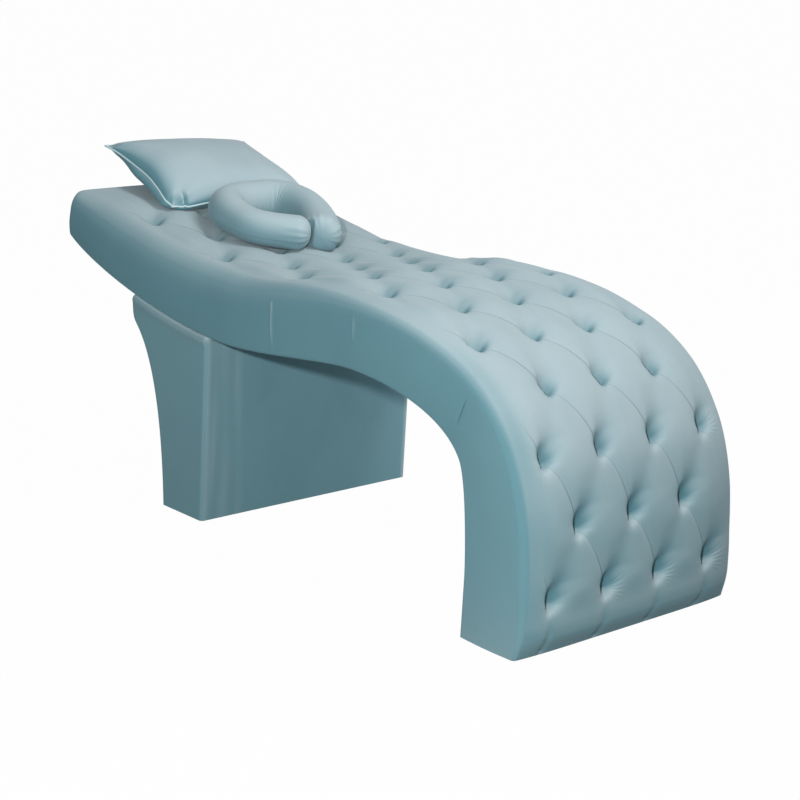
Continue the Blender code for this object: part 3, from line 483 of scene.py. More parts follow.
def wood(name, colour, streak, stretch):
    made = Nodes(name)
    grain = made.noise(scale=26.0, detail=6.0, roughness=0.65, stretch=stretch, distortion=1.2)
    fine = made.noise(scale=240.0, stretch=stretch)
    tone = made.ramp(grain, (0.25, streak), (0.55, colour), (0.8, shade(colour, 1.12)))
    made.dress(tone, made.greys(fine, (0.2, 0.5), (0.8, 0.7)))
    made.bump((fine, 0.2, 0.0006))
    return made.material


def grainy(name, colour, shades, rough, bump, scale, detail=4.0, roughness=0.6, metallic=0.0):
    """Foam, wadding, board, metal or plastic: a mottled colour with a grainy surface."""
    made = Nodes(name)
    grain = made.noise(scale, detail, roughness)
    dark, light = (shade(colour, factor) for factor in shades)
    tone = made.ramp(grain, (0.3, dark), (0.7, light))
    made.dress(tone, made.greys(grain, (0.2, rough[0]), (0.8, rough[1])))
    put(made.shader, Metallic=metallic)
    made.bump((grain, *bump))
    return made.material


# Each velvet's pale colour is its painted highlight; the start sets how soon a turning surface is painted
# pale
bed_velvet = velvet("velvet", TEAL, PALE_TEAL, 0.08, PAINTED_LIGHT_START)
pillow_velvet = velvet("pillow_velvet", TEAL, shade(PALE_TEAL, 1.12), 0.12, PILLOW_PAINTED_LIGHT_START)
neck_velvet = velvet("neck_velvet", NECK_TEAL, shade(PALE_TEAL, 1.08), 0.12, NECK_PAINTED_LIGHT_START)
piping_cloth = velvet("piping_cloth", PIPING_TEAL, PIPING_PALE, 0.15, PILLOW_PAINTED_LIGHT_START)
SOFT_SHADES = (0.84, 1.06)
FINISHES = {
    "velvet": bed_velvet,
    "piping": piping_cloth,
    "plywood": wood("plywood", (0.62, 0.44, 0.27), streak=(0.45, 0.30, 0.17), stretch=(0.25, 1, 1)),
    "pine": wood("pine", (0.73, 0.55, 0.34), streak=(0.58, 0.39, 0.21), stretch=(1, 0.12, 1)),
    # name, colour, shades, range of roughness, strength and depth of the bumps, scale of the grain
    "hardboard": grainy("hardboard", (0.28, 0.18, 0.11), SOFT_SHADES, (0.6, 0.98), (0.5, 0.0005), 420.0),
    "foam": grainy("foam", (0.83, 0.78, 0.60), SOFT_SHADES, (0.85, 0.98), (0.5, 0.0010), 700.0),
    "wadding": grainy("wadding", (0.86, 0.86, 0.84), SOFT_SHADES, (0.9, 0.98), (0.5, 0.0030), 120.0),
    "zinc_steel": grainy("zinc", (0.62, 0.63, 0.64), (0.85, 1.0), (0.26, 0.44), (0.1, 0.0003), 90.0,
                         metallic=1.0),
    "nylon": grainy("nylon", (0.07, 0.07, 0.075), (0.8, 1.2), (0.42, 0.58), (0.15, 0.0003), 900.0, 2.0, 0.5),
}


def finish_nodes():
    """Give every CAD node the finish of its slot."""
    for part in frame["record"]["subparts"]:
        node = frame["nodes"][part["node"]]
        node.data.materials.clear()
        node.data.materials.append(FINISHES[part["material_slot"]])


# Bed
def edge_round(from_foot):
    """Radius of the side edges of the top."""
    low = EDGE_AT_HEM + (EDGE_AT_FOOT - EDGE_AT_HEM) * fade(from_foot, EDGE_FOOT_OVER)
    return low + (EDGE_AT_HEAD - EDGE_AT_FOOT) * fade(from_foot, EDGE_HEAD_OVER)


def tuft_places():
    """Arc length from the foot's lower edge, and place across, of every tuft."""
    for row in range(TUFT_ROWS):
        count = TUFTS_WIDE - row % 2
        for column in range(count):
            yield TUFT_FIRST + row * TUFT_PITCH, (column - (count - 1) / 2) * TUFT_SPACING


def sway(from_foot, y):
    """How far the velvet of the lower foot is drawn to the right."""
    return TUFT_SWAY * fade_out(from_foot, SWAY_OVER) * fade_out(np.abs(y), (OUTER_TUFT, BED_HALF))


def tuft_pull(from_foot, y):
    """How strongly the tufts pull the velvet in, the painted shade in their pockets, and some tufts' puckers.
    """
    from_foot, y = np.broadcast_arrays(from_foot, y)
    pull, pocket_shade, angle, pucker = (np.zeros(y.shape) for _ in range(4))
    for place, side in tuft_places():
        level, across = from_foot - place, y - side
        near = (np.abs(level) < TUFT_PITCH) & (np.abs(across) < TUFT_SPACING)
        level, across = level[near], across[near]
        leaned = across - TUFT_LEAN * np.maximum(level, 0)
        leaned += TUFT_BULGE * np.sin(math.pi * np.clip(level / TUFT_ABOVE, 0, 1))
        up = level - TUFT_SLANT * np.maximum(leaned, 0)
        reach = np.where(leaned < 0, leaned / TUFT_NEAR, leaned / TUFT_FAR) ** 2
        reach += np.where(up > 0, up / TUFT_ABOVE, up / TUFT_BELOW) ** 2
        edge = fade_out(np.abs(up), (PULL_SHARE * TUFT_PITCH, TUFT_PITCH))
        edge *= fade_out(np.abs(across), (PULL_SHARE * TUFT_SPACING, TUFT_SPACING))
        pull[near] += (edge / (1 + reach) ** PULL_POWER) ** 2
        # Painted shade in the pocket, centred a little above the tuft
        painted_pocket_shade = hill(leaned, POCKET_WIDTH) * hill(up - POCKET_RISE, POCKET_HEIGHT)
        painted_pocket_shade *= fade(leaned, POCKET_SIDE_OVER) * fade(up, POCKET_FLOOR_OVER)
        pocket_shade[near] = np.maximum(pocket_shade[near], painted_pocket_shade)
        if side == OUTER_TUFT or place == TUFT_FIRST and side > -OUTER_TUFT:
            ring = np.hypot(across, level)
            mask = fade(ring, PUCKER_NEAR_OVER) * fade_out(ring, PUCKER_FAR_OVER)
            mask *= fade(across, PUCKER_SIDE_OVER)
            mask *= fade_out(np.abs(level) / np.maximum(across, HAIR), PUCKER_SPREAD_OVER)
            angle[near] = np.where(mask > 0, np.arctan2(level, across), angle[near])
            pucker[near] += mask
    return np.sqrt(pull), pocket_shade, angle, pucker


def tuft_relief(from_foot, y):
    """How far tufts, pleats and valleys draw the velvet in, less how far the pads puff up, and its marks."""
    y = y + sway(from_foot, y)
    rows = (from_foot - TUFT_FIRST) / TUFT_PITCH
    columns = y / (TUFT_SPACING / 2)
    p, q = (rows + columns + 1) / 2, (rows - columns + 1) / 2
    slope = math.hypot(1 / (2 * TUFT_PITCH), 1 / TUFT_SPACING)
    dimple, pocket_shade, pucker, pucker_mask = tuft_pull(from_foot, y)
    inside = fade_out(np.abs(y), PADS_SIDE_OVER) * fade(from_foot, PADS_FOOT_OVER)
    inside = inside * fade_out(from_foot, (TUFT_FIRST + (TUFT_ROWS - 1) * TUFT_PITCH, top_line.length))
    step = 1 - (q - np.floor(q))
    bowed = p - CREASE_BOW * np.sin(math.pi * step ** CREASE_BOW_POWER)
    off = (bowed - np.round(bowed)) / slope
    crease = np.where(off > 0, np.exp(-off / CREASE_SOFT), np.exp(off / CREASE_STEEP))
    crease *= CREASE_DEPTH + CREASE_AT_TUFT * np.cos(math.pi * step) ** 2
    valley = VALLEY_DEPTH * hill((q - np.round(q)) / slope, VALLEY_WIDTH)
    puff = PUFF * (np.sin(math.pi * p) * np.sin(math.pi * q)) ** 2
    fuller = 1 + HEAD_FULLER * fade(from_foot, HEAD_FULLER_OVER)
    relief = TUFT_DEPTH * dimple + inside * (1 - dimple) * (crease + fuller * (valley - puff))

    beside = y - (np.round(columns / 2 - 0.5) * 2 + 1) * TUFT_SPACING / 2
    hem = HEM_VALLEY_DEPTH * hill(beside, HEM_VALLEY_WIDTH) * (np.abs(y) < OUTER_TUFT + TUFT_SPACING / 4)
    relief = relief + hem * fade_out(from_foot, HEM_VALLEY_OVER) * (1 - dimple)

    # Distance to the nearest fold, and the strength of the painted shade along it
    fold = np.sin(math.pi * bowed) / (math.pi * slope)
    fold_mask = FOLD_LEAST + (1 - FOLD_LEAST) * fade(step, FOLD_STEP_OVER)
    fold_mask = inside * fold_mask * fade_out(dimple, FOLD_DIMPLE_OVER)
    return relief, fold, fold_mask, pocket_shade, pucker, pucker_mask


def top_height(from_foot, y):
    """Height of the velvet over the top line."""
    crown = CROWN * (1 - np.abs(y / BED_HALF) ** CROWN_POWER)
    crown = crown * (CROWN_AT_HEM + (1 - CROWN_AT_HEM) * fade(from_foot, CROWN_HEM_OVER))
    crown = crown * fade(top_line.length - from_foot, CROWN_HEAD_OVER)
    return crown - tuft_relief(from_foot, y)[0] * fade(from_foot, TUFT_HEM_OVER)


def inward(arcs):
    """Way into the pad: square to the top line, but upright at the head and level at the floor."""
    right = top_line.right(arcs)
    head = fade_out(arcs, END_TURN_OVER)[..., None]
    foot = fade_out(top_line.length - arcs, END_TURN_OVER)[..., None]
    down = right * (1 - head - foot) + np.array((0, -1)) * head + np.array((-1, 0)) * foot
    return down / np.sum(down * right, axis=-1, keepdims=True)


def gathered(places, first, last, pitch):
    """Places along a line, drawn closer together wherever a tuft falls."""
    inside = fade(places, (first - pitch / 2, first)) * fade_out(places, (last, last + pitch / 2))
    return places - GATHERED * pitch / (2 * math.pi) * inside * np.sin(2 * math.pi * (places - first) / pitch)


def stations():
    """Arc lengths of the cover's rings from the head end to the hem."""
    angles = np.radians(np.linspace(90, 0, EDGE_STEPS + 1))
    head = HEAD_ROUND * (1 - np.sin(angles))
    hem = top_line.length - HEM_LIFT - HEM_ROUND * (1 - np.sin(angles[::-1]))
    count = int((hem[0] - head[-1]) / STATION)
    from_foot = top_line.length - np.linspace(head[-1], hem[0], count)[1:-1]
    from_foot = gathered(from_foot, TUFT_FIRST, TUFT_FIRST + (TUFT_ROWS - 2) * TUFT_PITCH, TUFT_PITCH)
    return np.concatenate((head, top_line.length - from_foot, hem))


def round_drop(radius, into):
    """How far a rounded edge falls away this far into its radius."""
    into = np.clip(into, 0, radius)
    return radius - np.sqrt(radius ** 2 - into ** 2)


def side_marks(x, z):
    """Seams and pleats of a side: their height, and the distance to the nearest fold line and the strength of
    the painted shade along it.
    """
    height, fold, shown = np.zeros_like(x), np.zeros_like(x), np.zeros_like(x)
    for place, top, bottom, lean, rise in SIDE_MARKS:
        off = x - place + lean * (z - (top + bottom) / 2)
        ends = fade(z, (bottom - MARK_RUN_OUT, bottom + MARK_LOW_SHARE * (top - bottom)))
        ends = ends * fade_out(z, (top - MARK_TOP_FADE, top + MARK_RUN_OUT))
        height += rise * hill(off, MARK_WIDTH) * ends
        # Painted shade along the fold of a sunken pleat
        if rise < 0:
            near = np.abs(off) < MARK_SPREAD * MARK_WIDTH
            fold = np.where(near, off, fold)
            shown = np.where(near, ends, shown)
    return height, fold, shown


def head_lean(x, z):
    """How far the head end leans in toward its top."""
    share = np.clip((z - HEAD_HEIGHT + HEAD_THICKNESS) / HEAD_THICKNESS, 0, 1)
    return HEAD_LEAN * share * fade_out(x, HEAD_LEAN_OVER)


def foot_side_painted_light(from_foot, z):
    """Painted light on the sides of the foot: how much paler they are painted, most of all near the floor."""
    pale = FOOT_SIDE_PALE + FOOT_LOW_PALE * np.exp(-z / FOOT_LOW_DEPTH)
    return pale * fade_out(from_foot, FOOT_SIDE_OVER)


def foot_front_painted_light(from_foot, y, z):
    """Painted light low on the foot's front, and painted shade along its right margin."""
    low = fade_out(z, FRONT_LOW_OVER) + fade_out(z, FRONT_HIGH_OVER)
    low = FRONT_PALE * low * fade_out(from_foot, FRONT_OVER)
    margin = MARGIN_DULL * hill(y + BED_HALF - MARGIN_AT, MARGIN_WIDTH)
    return low - margin * fade(from_foot, MARGIN_FOOT_OVER) * fade_out(from_foot, MARGIN_HEAD_OVER)


def bed_marks(rings, from_foot, turns, rim):
    """The velvet's marks at every point of the cover, with rim columns on a side and turns over an edge."""
    along, across, height = from_foot[:, None], rings[:, :, 1], rings[:, :, 2]
    names = ("fold", "fold_mask", "pocket_shade", "pucker", "pucker_mask")
    marks = {}
    for name, mark in zip(names, tuft_relief(along, across)[1:]):
        marks[name] = np.array(np.broadcast_to(mark, across.shape), float)
    # Painted light and shade: paler low on the foot's front, duller along a margin, and a painted highlight
    # over the edges
    crest = foot_front_painted_light(along, across, height)
    shine = EDGE_GLOW * fade(along, EDGE_GLOW_OVER)
    over = np.degrees(turns)
    glow = shine * fade(over, GLOW_RISE_OVER) * (1 - GLOW_FALL * fade(over, GLOW_FALL_OVER))
    crest[:, rim:rim + len(turns)] += glow[:, ::-1]
    crest[:, -rim - len(turns):-rim] += glow
    for columns, top in (slice(0, rim), rim - 1), (slice(-rim, None), -rim):
        ridge, fold, shown = side_marks(rings[:, columns, 0] - HEAD_X, height[:, columns])
        for name, mark in ("fold", fold), ("fold_mask", shown), ("pocket_shade", 0), ("pucker_mask", 0):
            marks[name][:, columns] = mark
        below = np.linalg.norm(rings[:, columns] - rings[:, [top]], axis=-1) / SIDE_GLOW_DEPTH
        # Painted highlight on the seam ridges and just under the top edge, plus painted light on the foot's
        # sides
        crest[:, columns] = np.clip(ridge / MARK_FULL, 0, 1) + SIDE_GLOW * shine * np.exp(-below)
        crest[:, columns] += foot_side_painted_light(along, height[:, columns])
    return {**marks, "crest": crest}


def bed_cover():
    """The tufted top and both sides as one velvet cover, with a lip turned under each side."""
    arcs = stations()
    from_foot = top_line.length - arcs
    spine, into = top_line.at(arcs), inward(arcs)
    head_drop = round_drop(HEAD_ROUND, HEAD_ROUND - arcs)
    hem_drop = round_drop(HEM_ROUND, arcs - (top_line.length - HEM_LIFT - HEM_ROUND))
    corner = round_drop(CORNER_ROUND, CORNER_ROUND - arcs)
    edge = np.maximum(edge_round(from_foot), head_drop)
    flat_half = BED_HALF - edge - corner
    lower = under_line.at(under_match(arcs))
    lower[:, 1] = np.maximum(lower[:, 1], HEM_LIFT)

    def ring_point(plane, y):
        lean = head_lean(plane[..., 0], plane[..., 1])
        return np.stack((HEAD_X + plane[..., 0] + lean, y, plane[..., 1]), axis=-1)

    def on_top(y, turn):
        """Points at one place across, turned over the edge by an angle."""
        height = top_height(from_foot, y) * math.cos(turn)
        fall = np.maximum(edge * (1 - math.cos(turn)), head_drop) + hem_drop - height
        return ring_point(spine + fall[:, None] * into, y)

    def side(sign):
        """Columns from the edge down to the lip under the side."""
        start = spine + (edge + hem_drop)[:, None] * into
        depth = np.linalg.norm(lower - start, axis=-1)
        made = []
        for share in np.cos(np.linspace(0, math.pi / 2, SIDE_STEPS + 1))[::-1]:
            plane = start + share * (lower - start)
            out = SIDE_BULGE * math.sin(math.pi * share) - (BED_HALF - SIDE_HALF) * share - corner
            out -= round_drop(LOWER_EDGE_ROUND, LOWER_EDGE_ROUND - (1 - share) * depth)
            out += side_marks(plane[:, 0], plane[:, 1])[0]
            made.append(ring_point(plane, sign * (BED_HALF + out)))
        inner = SIDE_HALF - LIP - corner
        made.append(ring_point(lower, sign * inner))
        up = lower - LIP_RISE * under_line.right(under_match(arcs))
        made.append(ring_point(up, sign * inner))
        return made

    turns = np.radians(np.linspace(0, 90, EDGE_STEPS + 1))[1:-1]
    right, left = side(-1)[::-1], side(1)
    rim = len(right)
    right += [on_top(-flat_half - edge * math.sin(turn), turn) for turn in turns[::-1]]
    left = [on_top(flat_half + edge * math.sin(turn), turn) for turn in turns] + left
    middle = []
    for share in np.linspace(-1, 1, int(2 * BED_HALF / STATION)):
        column = gathered(flat_half * share, -OUTER_TUFT, OUTER_TUFT, TUFT_SPACING / 2)
        middle.append(on_top(column - sway(from_foot, column), 0))
    rings = np.stack(right + middle + left, axis=1)
    piece = loft("bed_cover", rings, bed_velvet, "bed")
    store(piece, **bed_marks(rings, from_foot, turns, rim))
    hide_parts("tufted_top", "side_cover_left", "side_cover_right")
    return piece


def tuft_buttons():
    """Small covered buttons at the bottom of the tufts."""
    shape = []
    for tilt in BUTTON_ANGLES:
        reach, rise = BUTTON_RADIUS * math.sin(tilt), BUTTON_HEIGHT * math.cos(tilt)
        for angle in np.linspace(0, 2 * math.pi, BUTTON_SIDES, endpoint=False):
            shape.append(Vector((reach * math.cos(angle), reach * math.sin(angle), rise)))
    points, faces = [], []
    for from_foot, side in tuft_places():
        arc = top_line.length - from_foot
        y = side - sway(from_foot, side)
        into = inward(np.array([arc]))[0]
        height = top_height(np.array([from_foot]), np.array([y]))[0]
        base = top_line.at(np.array([arc]))[0] - (height - BUTTON_SINK) * into
        turn = Vector((-into[0], 0, -into[1])).normalized().to_track_quat("Z", "Y").to_matrix()
        seat = Vector((HEAD_X + base[0], y, base[1]))
        for face in loft_faces(len(BUTTON_ANGLES), BUTTON_SIDES):
            faces.append([len(points) + corner for corner in face])
        points += [seat + turn @ place for place in shape]
    piece = mesh_piece("tuft_buttons", points, faces, bed_velvet, "bed")


def under_cover():
    """The velvet panel under the bed, between the turned lips of the sides."""
    arcs = np.linspace(HEM_LIFT, under_line.length - 2 * HEM_LIFT, UNDER_STEPS)
    across = np.linspace(-1, 1, UNDER_COLUMNS)
    y = (SIDE_HALF - LIP - UNDER_GAP) * np.concatenate((across, across[::-1]))
    out = np.concatenate((UNDER_SAG * (1 - across ** 2), np.full(UNDER_COLUMNS, -UNDER_THICKNESS)))
    rings = []
    for point, down in zip(under_line.at(arcs), under_line.right(arcs)):
        x, z = HEAD_X + point[0] + out * down[0], point[1] + out * down[1]
        rings.append(np.stack((x, y, z), axis=-1))
    piece = loft("under_panel", rings, bed_velvet, "bed")
    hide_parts("under_cover")


def head_cover():
    """The padded velvet panel on the head end."""
    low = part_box("head_cover")[0].z
    high = HEAD_HEIGHT - HEAD_ROUND + PANEL_LAP
    across = np.linspace(-1, 1, PANEL_COLUMNS)
    y = (SIDE_HALF - CORNER_ROUND) * np.concatenate((across, across[::-1]))
    rings = []
    for level in np.linspace(-1, 1, PANEL_ROWS):
        z = (low + high) / 2 + level * (high - low) / 2
        swell = np.sqrt((1 - level ** SWELL_POWER_UP) * (1 - across ** SWELL_POWER_ACROSS))
        inner = np.full(PANEL_COLUMNS, PANEL_THICKNESS)
        x = HEAD_X + head_lean(0, z) + np.concatenate((-PANEL_SWELL * swell, inner))
        rings.append(np.stack((x, y, np.full(len(y), z)), axis=-1))
    piece = loft("head_panel_cover", rings, bed_velvet, "bed")
    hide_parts("head_cover")


# Pedestal
def underside_height(x):
    return np.interp(x, under_line.points[:, 0], under_line.points[:, 1])


def sleeve_outline():
    """Round the sleeve: share of the depth, extra depth, place across, corner turn, and if off an end."""
    flat = SIDE_HALF - SLEEVE_CORNER

    def end(share, places):
        return [(share, 2 * share * SLEEVE_CORNER, flat * place, 0, 0) for place in places]

    def flank(side, shares):
        return [(share, SLEEVE_CORNER, side * SIDE_HALF, 0, 1) for share in shares]

    def corner(share, side):
        made = []
        for angle in np.linspace(0, math.pi / 2, SLEEVE_CORNER_STEPS + 1):
            extra = SLEEVE_CORNER * (1 + (2 * share - 1) * math.cos(angle))
            y = side * (flat + SLEEVE_CORNER * math.sin(angle))
            made.append((share, extra, y, math.sin(angle) * math.cos(angle), 1))
        return made

    across = np.linspace(-1, 1, SLEEVE_FRONT_STEPS + 1)[1:-1]
    along = np.linspace(0, 1, SLEEVE_SIDE_STEPS + 1)[1:-1]
    loop = end(1, across) + corner(1, 1) + flank(1, along[::-1]) + corner(0, 1)[::-1]
    loop += end(0, across[::-1]) + corner(0, -1) + flank(-1, along) + corner(1, -1)[::-1]
    return np.transpose(loop)


def sleeve_ripples(y, z):
    """Soft upright ripples of the front's velvet: height and share of painted highlight."""
    height, pale = 0, 0
    for place, width, rise, share in SLEEVE_RIPPLES:
        phase = RIPPLE_WAVES * z + RIPPLE_SHIFT * place
        near = hill(y - place - RIPPLE_WANDER * np.sin(phase), width)
        near *= 1 - RIPPLE_FADE + RIPPLE_FADE * np.sin(2 * phase)
        height += rise * near
        pale += share * near
    return height, pale


def pedestal_sleeve():
    """The velvet round the pedestal, up to the underside of the bed."""
    nose_x = PEDESTAL_FRONT - PEDESTAL_TOP_DEPTH
    nose_top = underside_height(nose_x)
    rear = Line([
        (PEDESTAL_FRONT - PEDESTAL_BASE_DEPTH, 0, REAR_RISE, 0, 0.52),
        (PEDESTAL_FRONT - FLARE_DEPTH, nose_top - FLARE_DROP, FLARE_SLOPE, 0.2, 0.36),
        (nose_x, nose_top - NOSE_DROP, -PLUMB_DOWN, 0.36, 0.36),
        (nose_x + NOSE_DROP / 2, nose_top + NOSE_DROP / 2, NOSE_TURN, 0.36, 0),
    ])
    room = underside_height(rear.points[:, 0]) - rear.points[:, 1]
    top_rear = rear.points[np.argmax(room < 0)]

    share, extra, y, turn, flank = sleeve_outline()
    z_top = underside_height(top_rear[0] + share * (PEDESTAL_FRONT - top_rear[0])) + SLEEVE_TUCK
    rim_turns = np.linspace(RIM_START, 1, RIM_LEVELS) * math.pi / 2
    levels = np.linspace(0, 1 - RIM_SHARE, SLEEVE_LEVELS)
    rings, crests = [], []
    for level in (*levels, *(1 - RIM_SHARE * np.cos(rim_turns))):
        z_rear = HEM_LIFT + level * (top_rear[1] - HEM_LIFT)
        x_rear = np.interp(z_rear, rear.points[:, 1], rear.points[:, 0])
        x = x_rear + extra + share * (PEDESTAL_FRONT - x_rear - 2 * SLEEVE_CORNER)
        z = HEM_LIFT + level * (z_top - HEM_LIFT)
        below = z_top - z
        roll = ROLL * hill(below - ROLL_WIDTH, ROLL_WIDTH)
        roll -= ROLL_PINCH * fade_out(below, (0, ROLL_WIDTH / 2))
        height, pale = (ripple * (share == 1) for ripple in sleeve_ripples(y, z))
        rings.append(np.stack((HEAD_X + x + height, y * (1 + roll / SIDE_HALF), z), axis=-1))
        # Painted highlight along the rim under the roll, on the sides and round the corners; painted shade on
        # the front, with painted highlights on its ripples
        rim = RIM_PALE * hill(below - RIM_AT, RIM_WIDTH)
        beside = SLEEVE_SIDE_PALE + rim + SLEEVE_CORNER_PALE * turn
        crests.append(np.where(flank, beside, SLEEVE_FRONT_PALE + pale))
    piece = loft("pedestal_sleeve", rings, bed_velvet, "bed")
    store(piece, crest=crests)
    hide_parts("pedestal_cover")


# Loose pieces
CONTACT = 0.0008
ABOVE_ALL = 2


def lying_frame(node):
    """Matrix of a loose piece's seam plane, from the node that lies in it."""
    points = np.array([vert.co for vert in frame["nodes"][node].data.vertices])
    centre = (points.min(axis=0) + points.max(axis=0)) / 2
    spread = points - points.mean(axis=0)
    slope = (spread[:, 0] * spread[:, 2]).sum() / (spread[:, 0] ** 2).sum()
    return Matrix.Translation(centre) @ Matrix.Rotation(-math.atan(slope), 4, "Y")


def laid(points, node, tree):
    """Points placed in a node's seam plane, and raised where they would sink into the surface below."""
    place = lying_frame(node)
    made = []
    for x, y, z in (place @ Vector(point) for point in points):
        hit = tree.ray_cast(Vector((x, y, ABOVE_ALL)), Vector((0, 0, -1)))[0]
        made.append((x, y, max(z, hit.z + CONTACT) if hit else z))
    return made


# Loose pillow, where p runs toward the foot and q toward the right, both from -1 to 1
PILLOW_DEPTH, PILLOW_WIDTH = 0.335, 0.49
PILLOW_COLUMNS, PILLOW_ROWS = 72, 120
PILLOW_CROWN, PILLOW_BELLY, PILLOW_UNEVEN = 0.066, 0.064, 0.03
FULL_POWER_P, FULL_POWER_Q = 2.2, 2.3
BELLY_OUT, BELLY_P_OVER, BELLY_Q_OVER = 0.024, (0.1, 0.8), (0.5, 1)
SEAM_BOW_ENDS, SEAM_BOW_SIDES = 0.008, 0.020
SEAM_RISE, SEAM_OVER = 0.008, (0.2, 1)
EAR_REACH, EAR_OVER = 0.002, (0.6, 1)
EAR_LIFT, EAR_LIFT_OVER = 0.007, (0.2, 1)
EAR_FLAT, EAR_FLAT_P_OVER, EAR_FLAT_Q_OVER = 0.85, (0.80, 1), (0.86, 1)
CORNER_DROOP, CORNER_DROOP_OVER = 0.012, (0, 1)
CORNER_TURN, CORNER_TURN_OVER = 0.016, (0.7, 1)
FAR_TURN, FAR_TURN_OVER = 0.008, (0.5, 1)
FAR_DROP, FAR_DROP_P_OVER, FAR_DROP_Q_OVER = 0.008, (-0.6, 0.6), (-0.4, 0.6)
CREASE_TURNS, CREASE_RISE, CREASE_REACH = 9, 0.0032, 0.42
TUCK_AT, TUCK_WIDTH, TUCK_DEPTH = 0.80, 0.022, 0.0045
TUCK_OVER, TUCK_FOLD_OVER = (0.72, 0.97), (0.72, 0.9)
PIPING_RADIUS, PIPING_RESOLUTION = 0.0027, 3


def corner_creases(p, q):
    """Creases that fan out from the four corners."""
    creases = 0
    for end in (-1, 1):
        for edge in (-1, 1):
            off_p, off_q = 1 - end * p, 1 - edge * q
            near = hill(math.hypot(off_p, off_q), CREASE_REACH)
            creases += near * math.sin(CREASE_TURNS * math.atan2(off_p, off_q + HAIR) + 2 * end + edge)
    return creases


def pillow_point(p, q, side):
    """A point of the pillow's case, on its upper side 1 or its lower side -1."""
    half_x, half_y = PILLOW_DEPTH / 2 - PIPING_RADIUS, PILLOW_WIDTH / 2 - PIPING_RADIUS
    ear = EAR_REACH * fade(-p, EAR_OVER) * fade(q, EAR_OVER)
    corner = CORNER_TURN * fade(p, CORNER_TURN_OVER) * fade(q, CORNER_TURN_OVER)
    corner += FAR_TURN * fade(p, FAR_TURN_OVER) * fade(-q, FAR_TURN_OVER)
    x = p * (half_x - SEAM_BOW_ENDS * (1 - q * q)) - ear - corner
    right = q * (half_y - SEAM_BOW_SIDES * (1 - p * p)) + ear - math.copysign(corner, q)
    full = math.sqrt((1 - abs(p) ** FULL_POWER_P) * (1 - abs(q) ** FULL_POWER_Q))
    full *= 1 - EAR_FLAT * fade(-p, EAR_FLAT_P_OVER) * fade(q, EAR_FLAT_Q_OVER)
    uneven = PILLOW_UNEVEN * math.sin(5 * p + 2 * q + 1) * math.sin(4 * q - 2 * p)
    lift = (PILLOW_CROWN if side > 0 else -PILLOW_BELLY) * full * (1 + uneven)
    lift += CREASE_RISE * corner_creases(p, q) * math.sqrt(full)
    seam = EAR_LIFT * fade(-p, EAR_LIFT_OVER) - CORNER_DROOP * fade(p, CORNER_DROOP_OVER)
    lift += (seam + SEAM_RISE * (1 - p * p)) * fade(q, SEAM_OVER)
    lift -= FAR_DROP * fade(-p, FAR_DROP_P_OVER) * fade(-q, FAR_DROP_Q_OVER)
    if side < 0:
        right += BELLY_OUT * 4 * full * (1 - full) * fade_out(-p, BELLY_P_OVER) * fade(q, BELLY_Q_OVER)
        return x, -right, lift
    tuck = TUCK_DEPTH * hill(q - TUCK_AT, TUCK_WIDTH) * fade(p, TUCK_OVER)
    return x - tuck, -right, lift - tuck * math.sqrt(full)


def sewn_panels():
    """The pillow's two panels joined round the rim: points, faces, rim in order, and the tuck's fold line."""
    columns, rows = PILLOW_COLUMNS, PILLOW_ROWS
    points, faces, index, folds = [], [], {}, []

    def key(i, j, side):
        return i, j, 0 if i in (0, columns) or j in (0, rows) else side

    for side in (1, -1):
        for i in range(columns + 1):
            for j in range(rows + 1):
                if key(i, j, side) not in index:
                    index[key(i, j, side)] = len(points)
                    p = math.sin(math.pi * (i / columns - 0.5))
                    q = math.sin(math.pi * (j / rows - 0.5))
                    points.append(pillow_point(p, q, side))
                    # Painted shade along the tuck's fold, on the upper panel only
                    shown = fade(p, TUCK_FOLD_OVER) if side > 0 else 0
                    folds.append(((q - TUCK_AT) * PILLOW_WIDTH / 2, shown))
        for i in range(columns):
            for j in range(rows):
                corners = ((i, j), (i + 1, j), (i + 1, j + 1), (i, j + 1))
                faces.append([index[key(*corner, side)] for corner in corners][::side])
    rim = [(i, 0) for i in range(columns)] + [(columns, j) for j in range(rows)]
    rim += [(columns - i, rows) for i in range(columns)]
    rim += [(0, rows - j) for j in range(rows)]
    return points, faces, [index[i, j, 0] for i, j in rim], np.array(folds)


def pillow(bed_top):
    points, faces, rim, folds = sewn_panels()
    points = laid(points, "pillow_piping", bed_top)
    piece = mesh_piece("pillow_case", points, faces, pillow_velvet, "pillow")
    store(piece, fold=folds[:, 0], fold_mask=folds[:, 1])
    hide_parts("pillow_upper_panel", "pillow_lower_panel", "pillow_filling")
    piping([points[corner] for corner in rim])


def piping(points):
    """The round welt in the pillow's seam."""
    curve = bpy.data.curves.new("pillow_welt", "CURVE")
    curve.dimensions = "3D"
    curve.bevel_depth = PIPING_RADIUS
    curve.bevel_resolution = PIPING_RESOLUTION
    spline = curve.splines.new("POLY")
    spline.points.add(len(points) - 1)
    spline.use_cyclic_u = True
    for target, place in zip(spline.points, points):
        target.co = (*place, 1)
    curve.materials.append(piping_cloth)
    welt = linked("pillow_welt", curve)
    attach(welt, "pillow")
    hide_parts("pillow_piping")


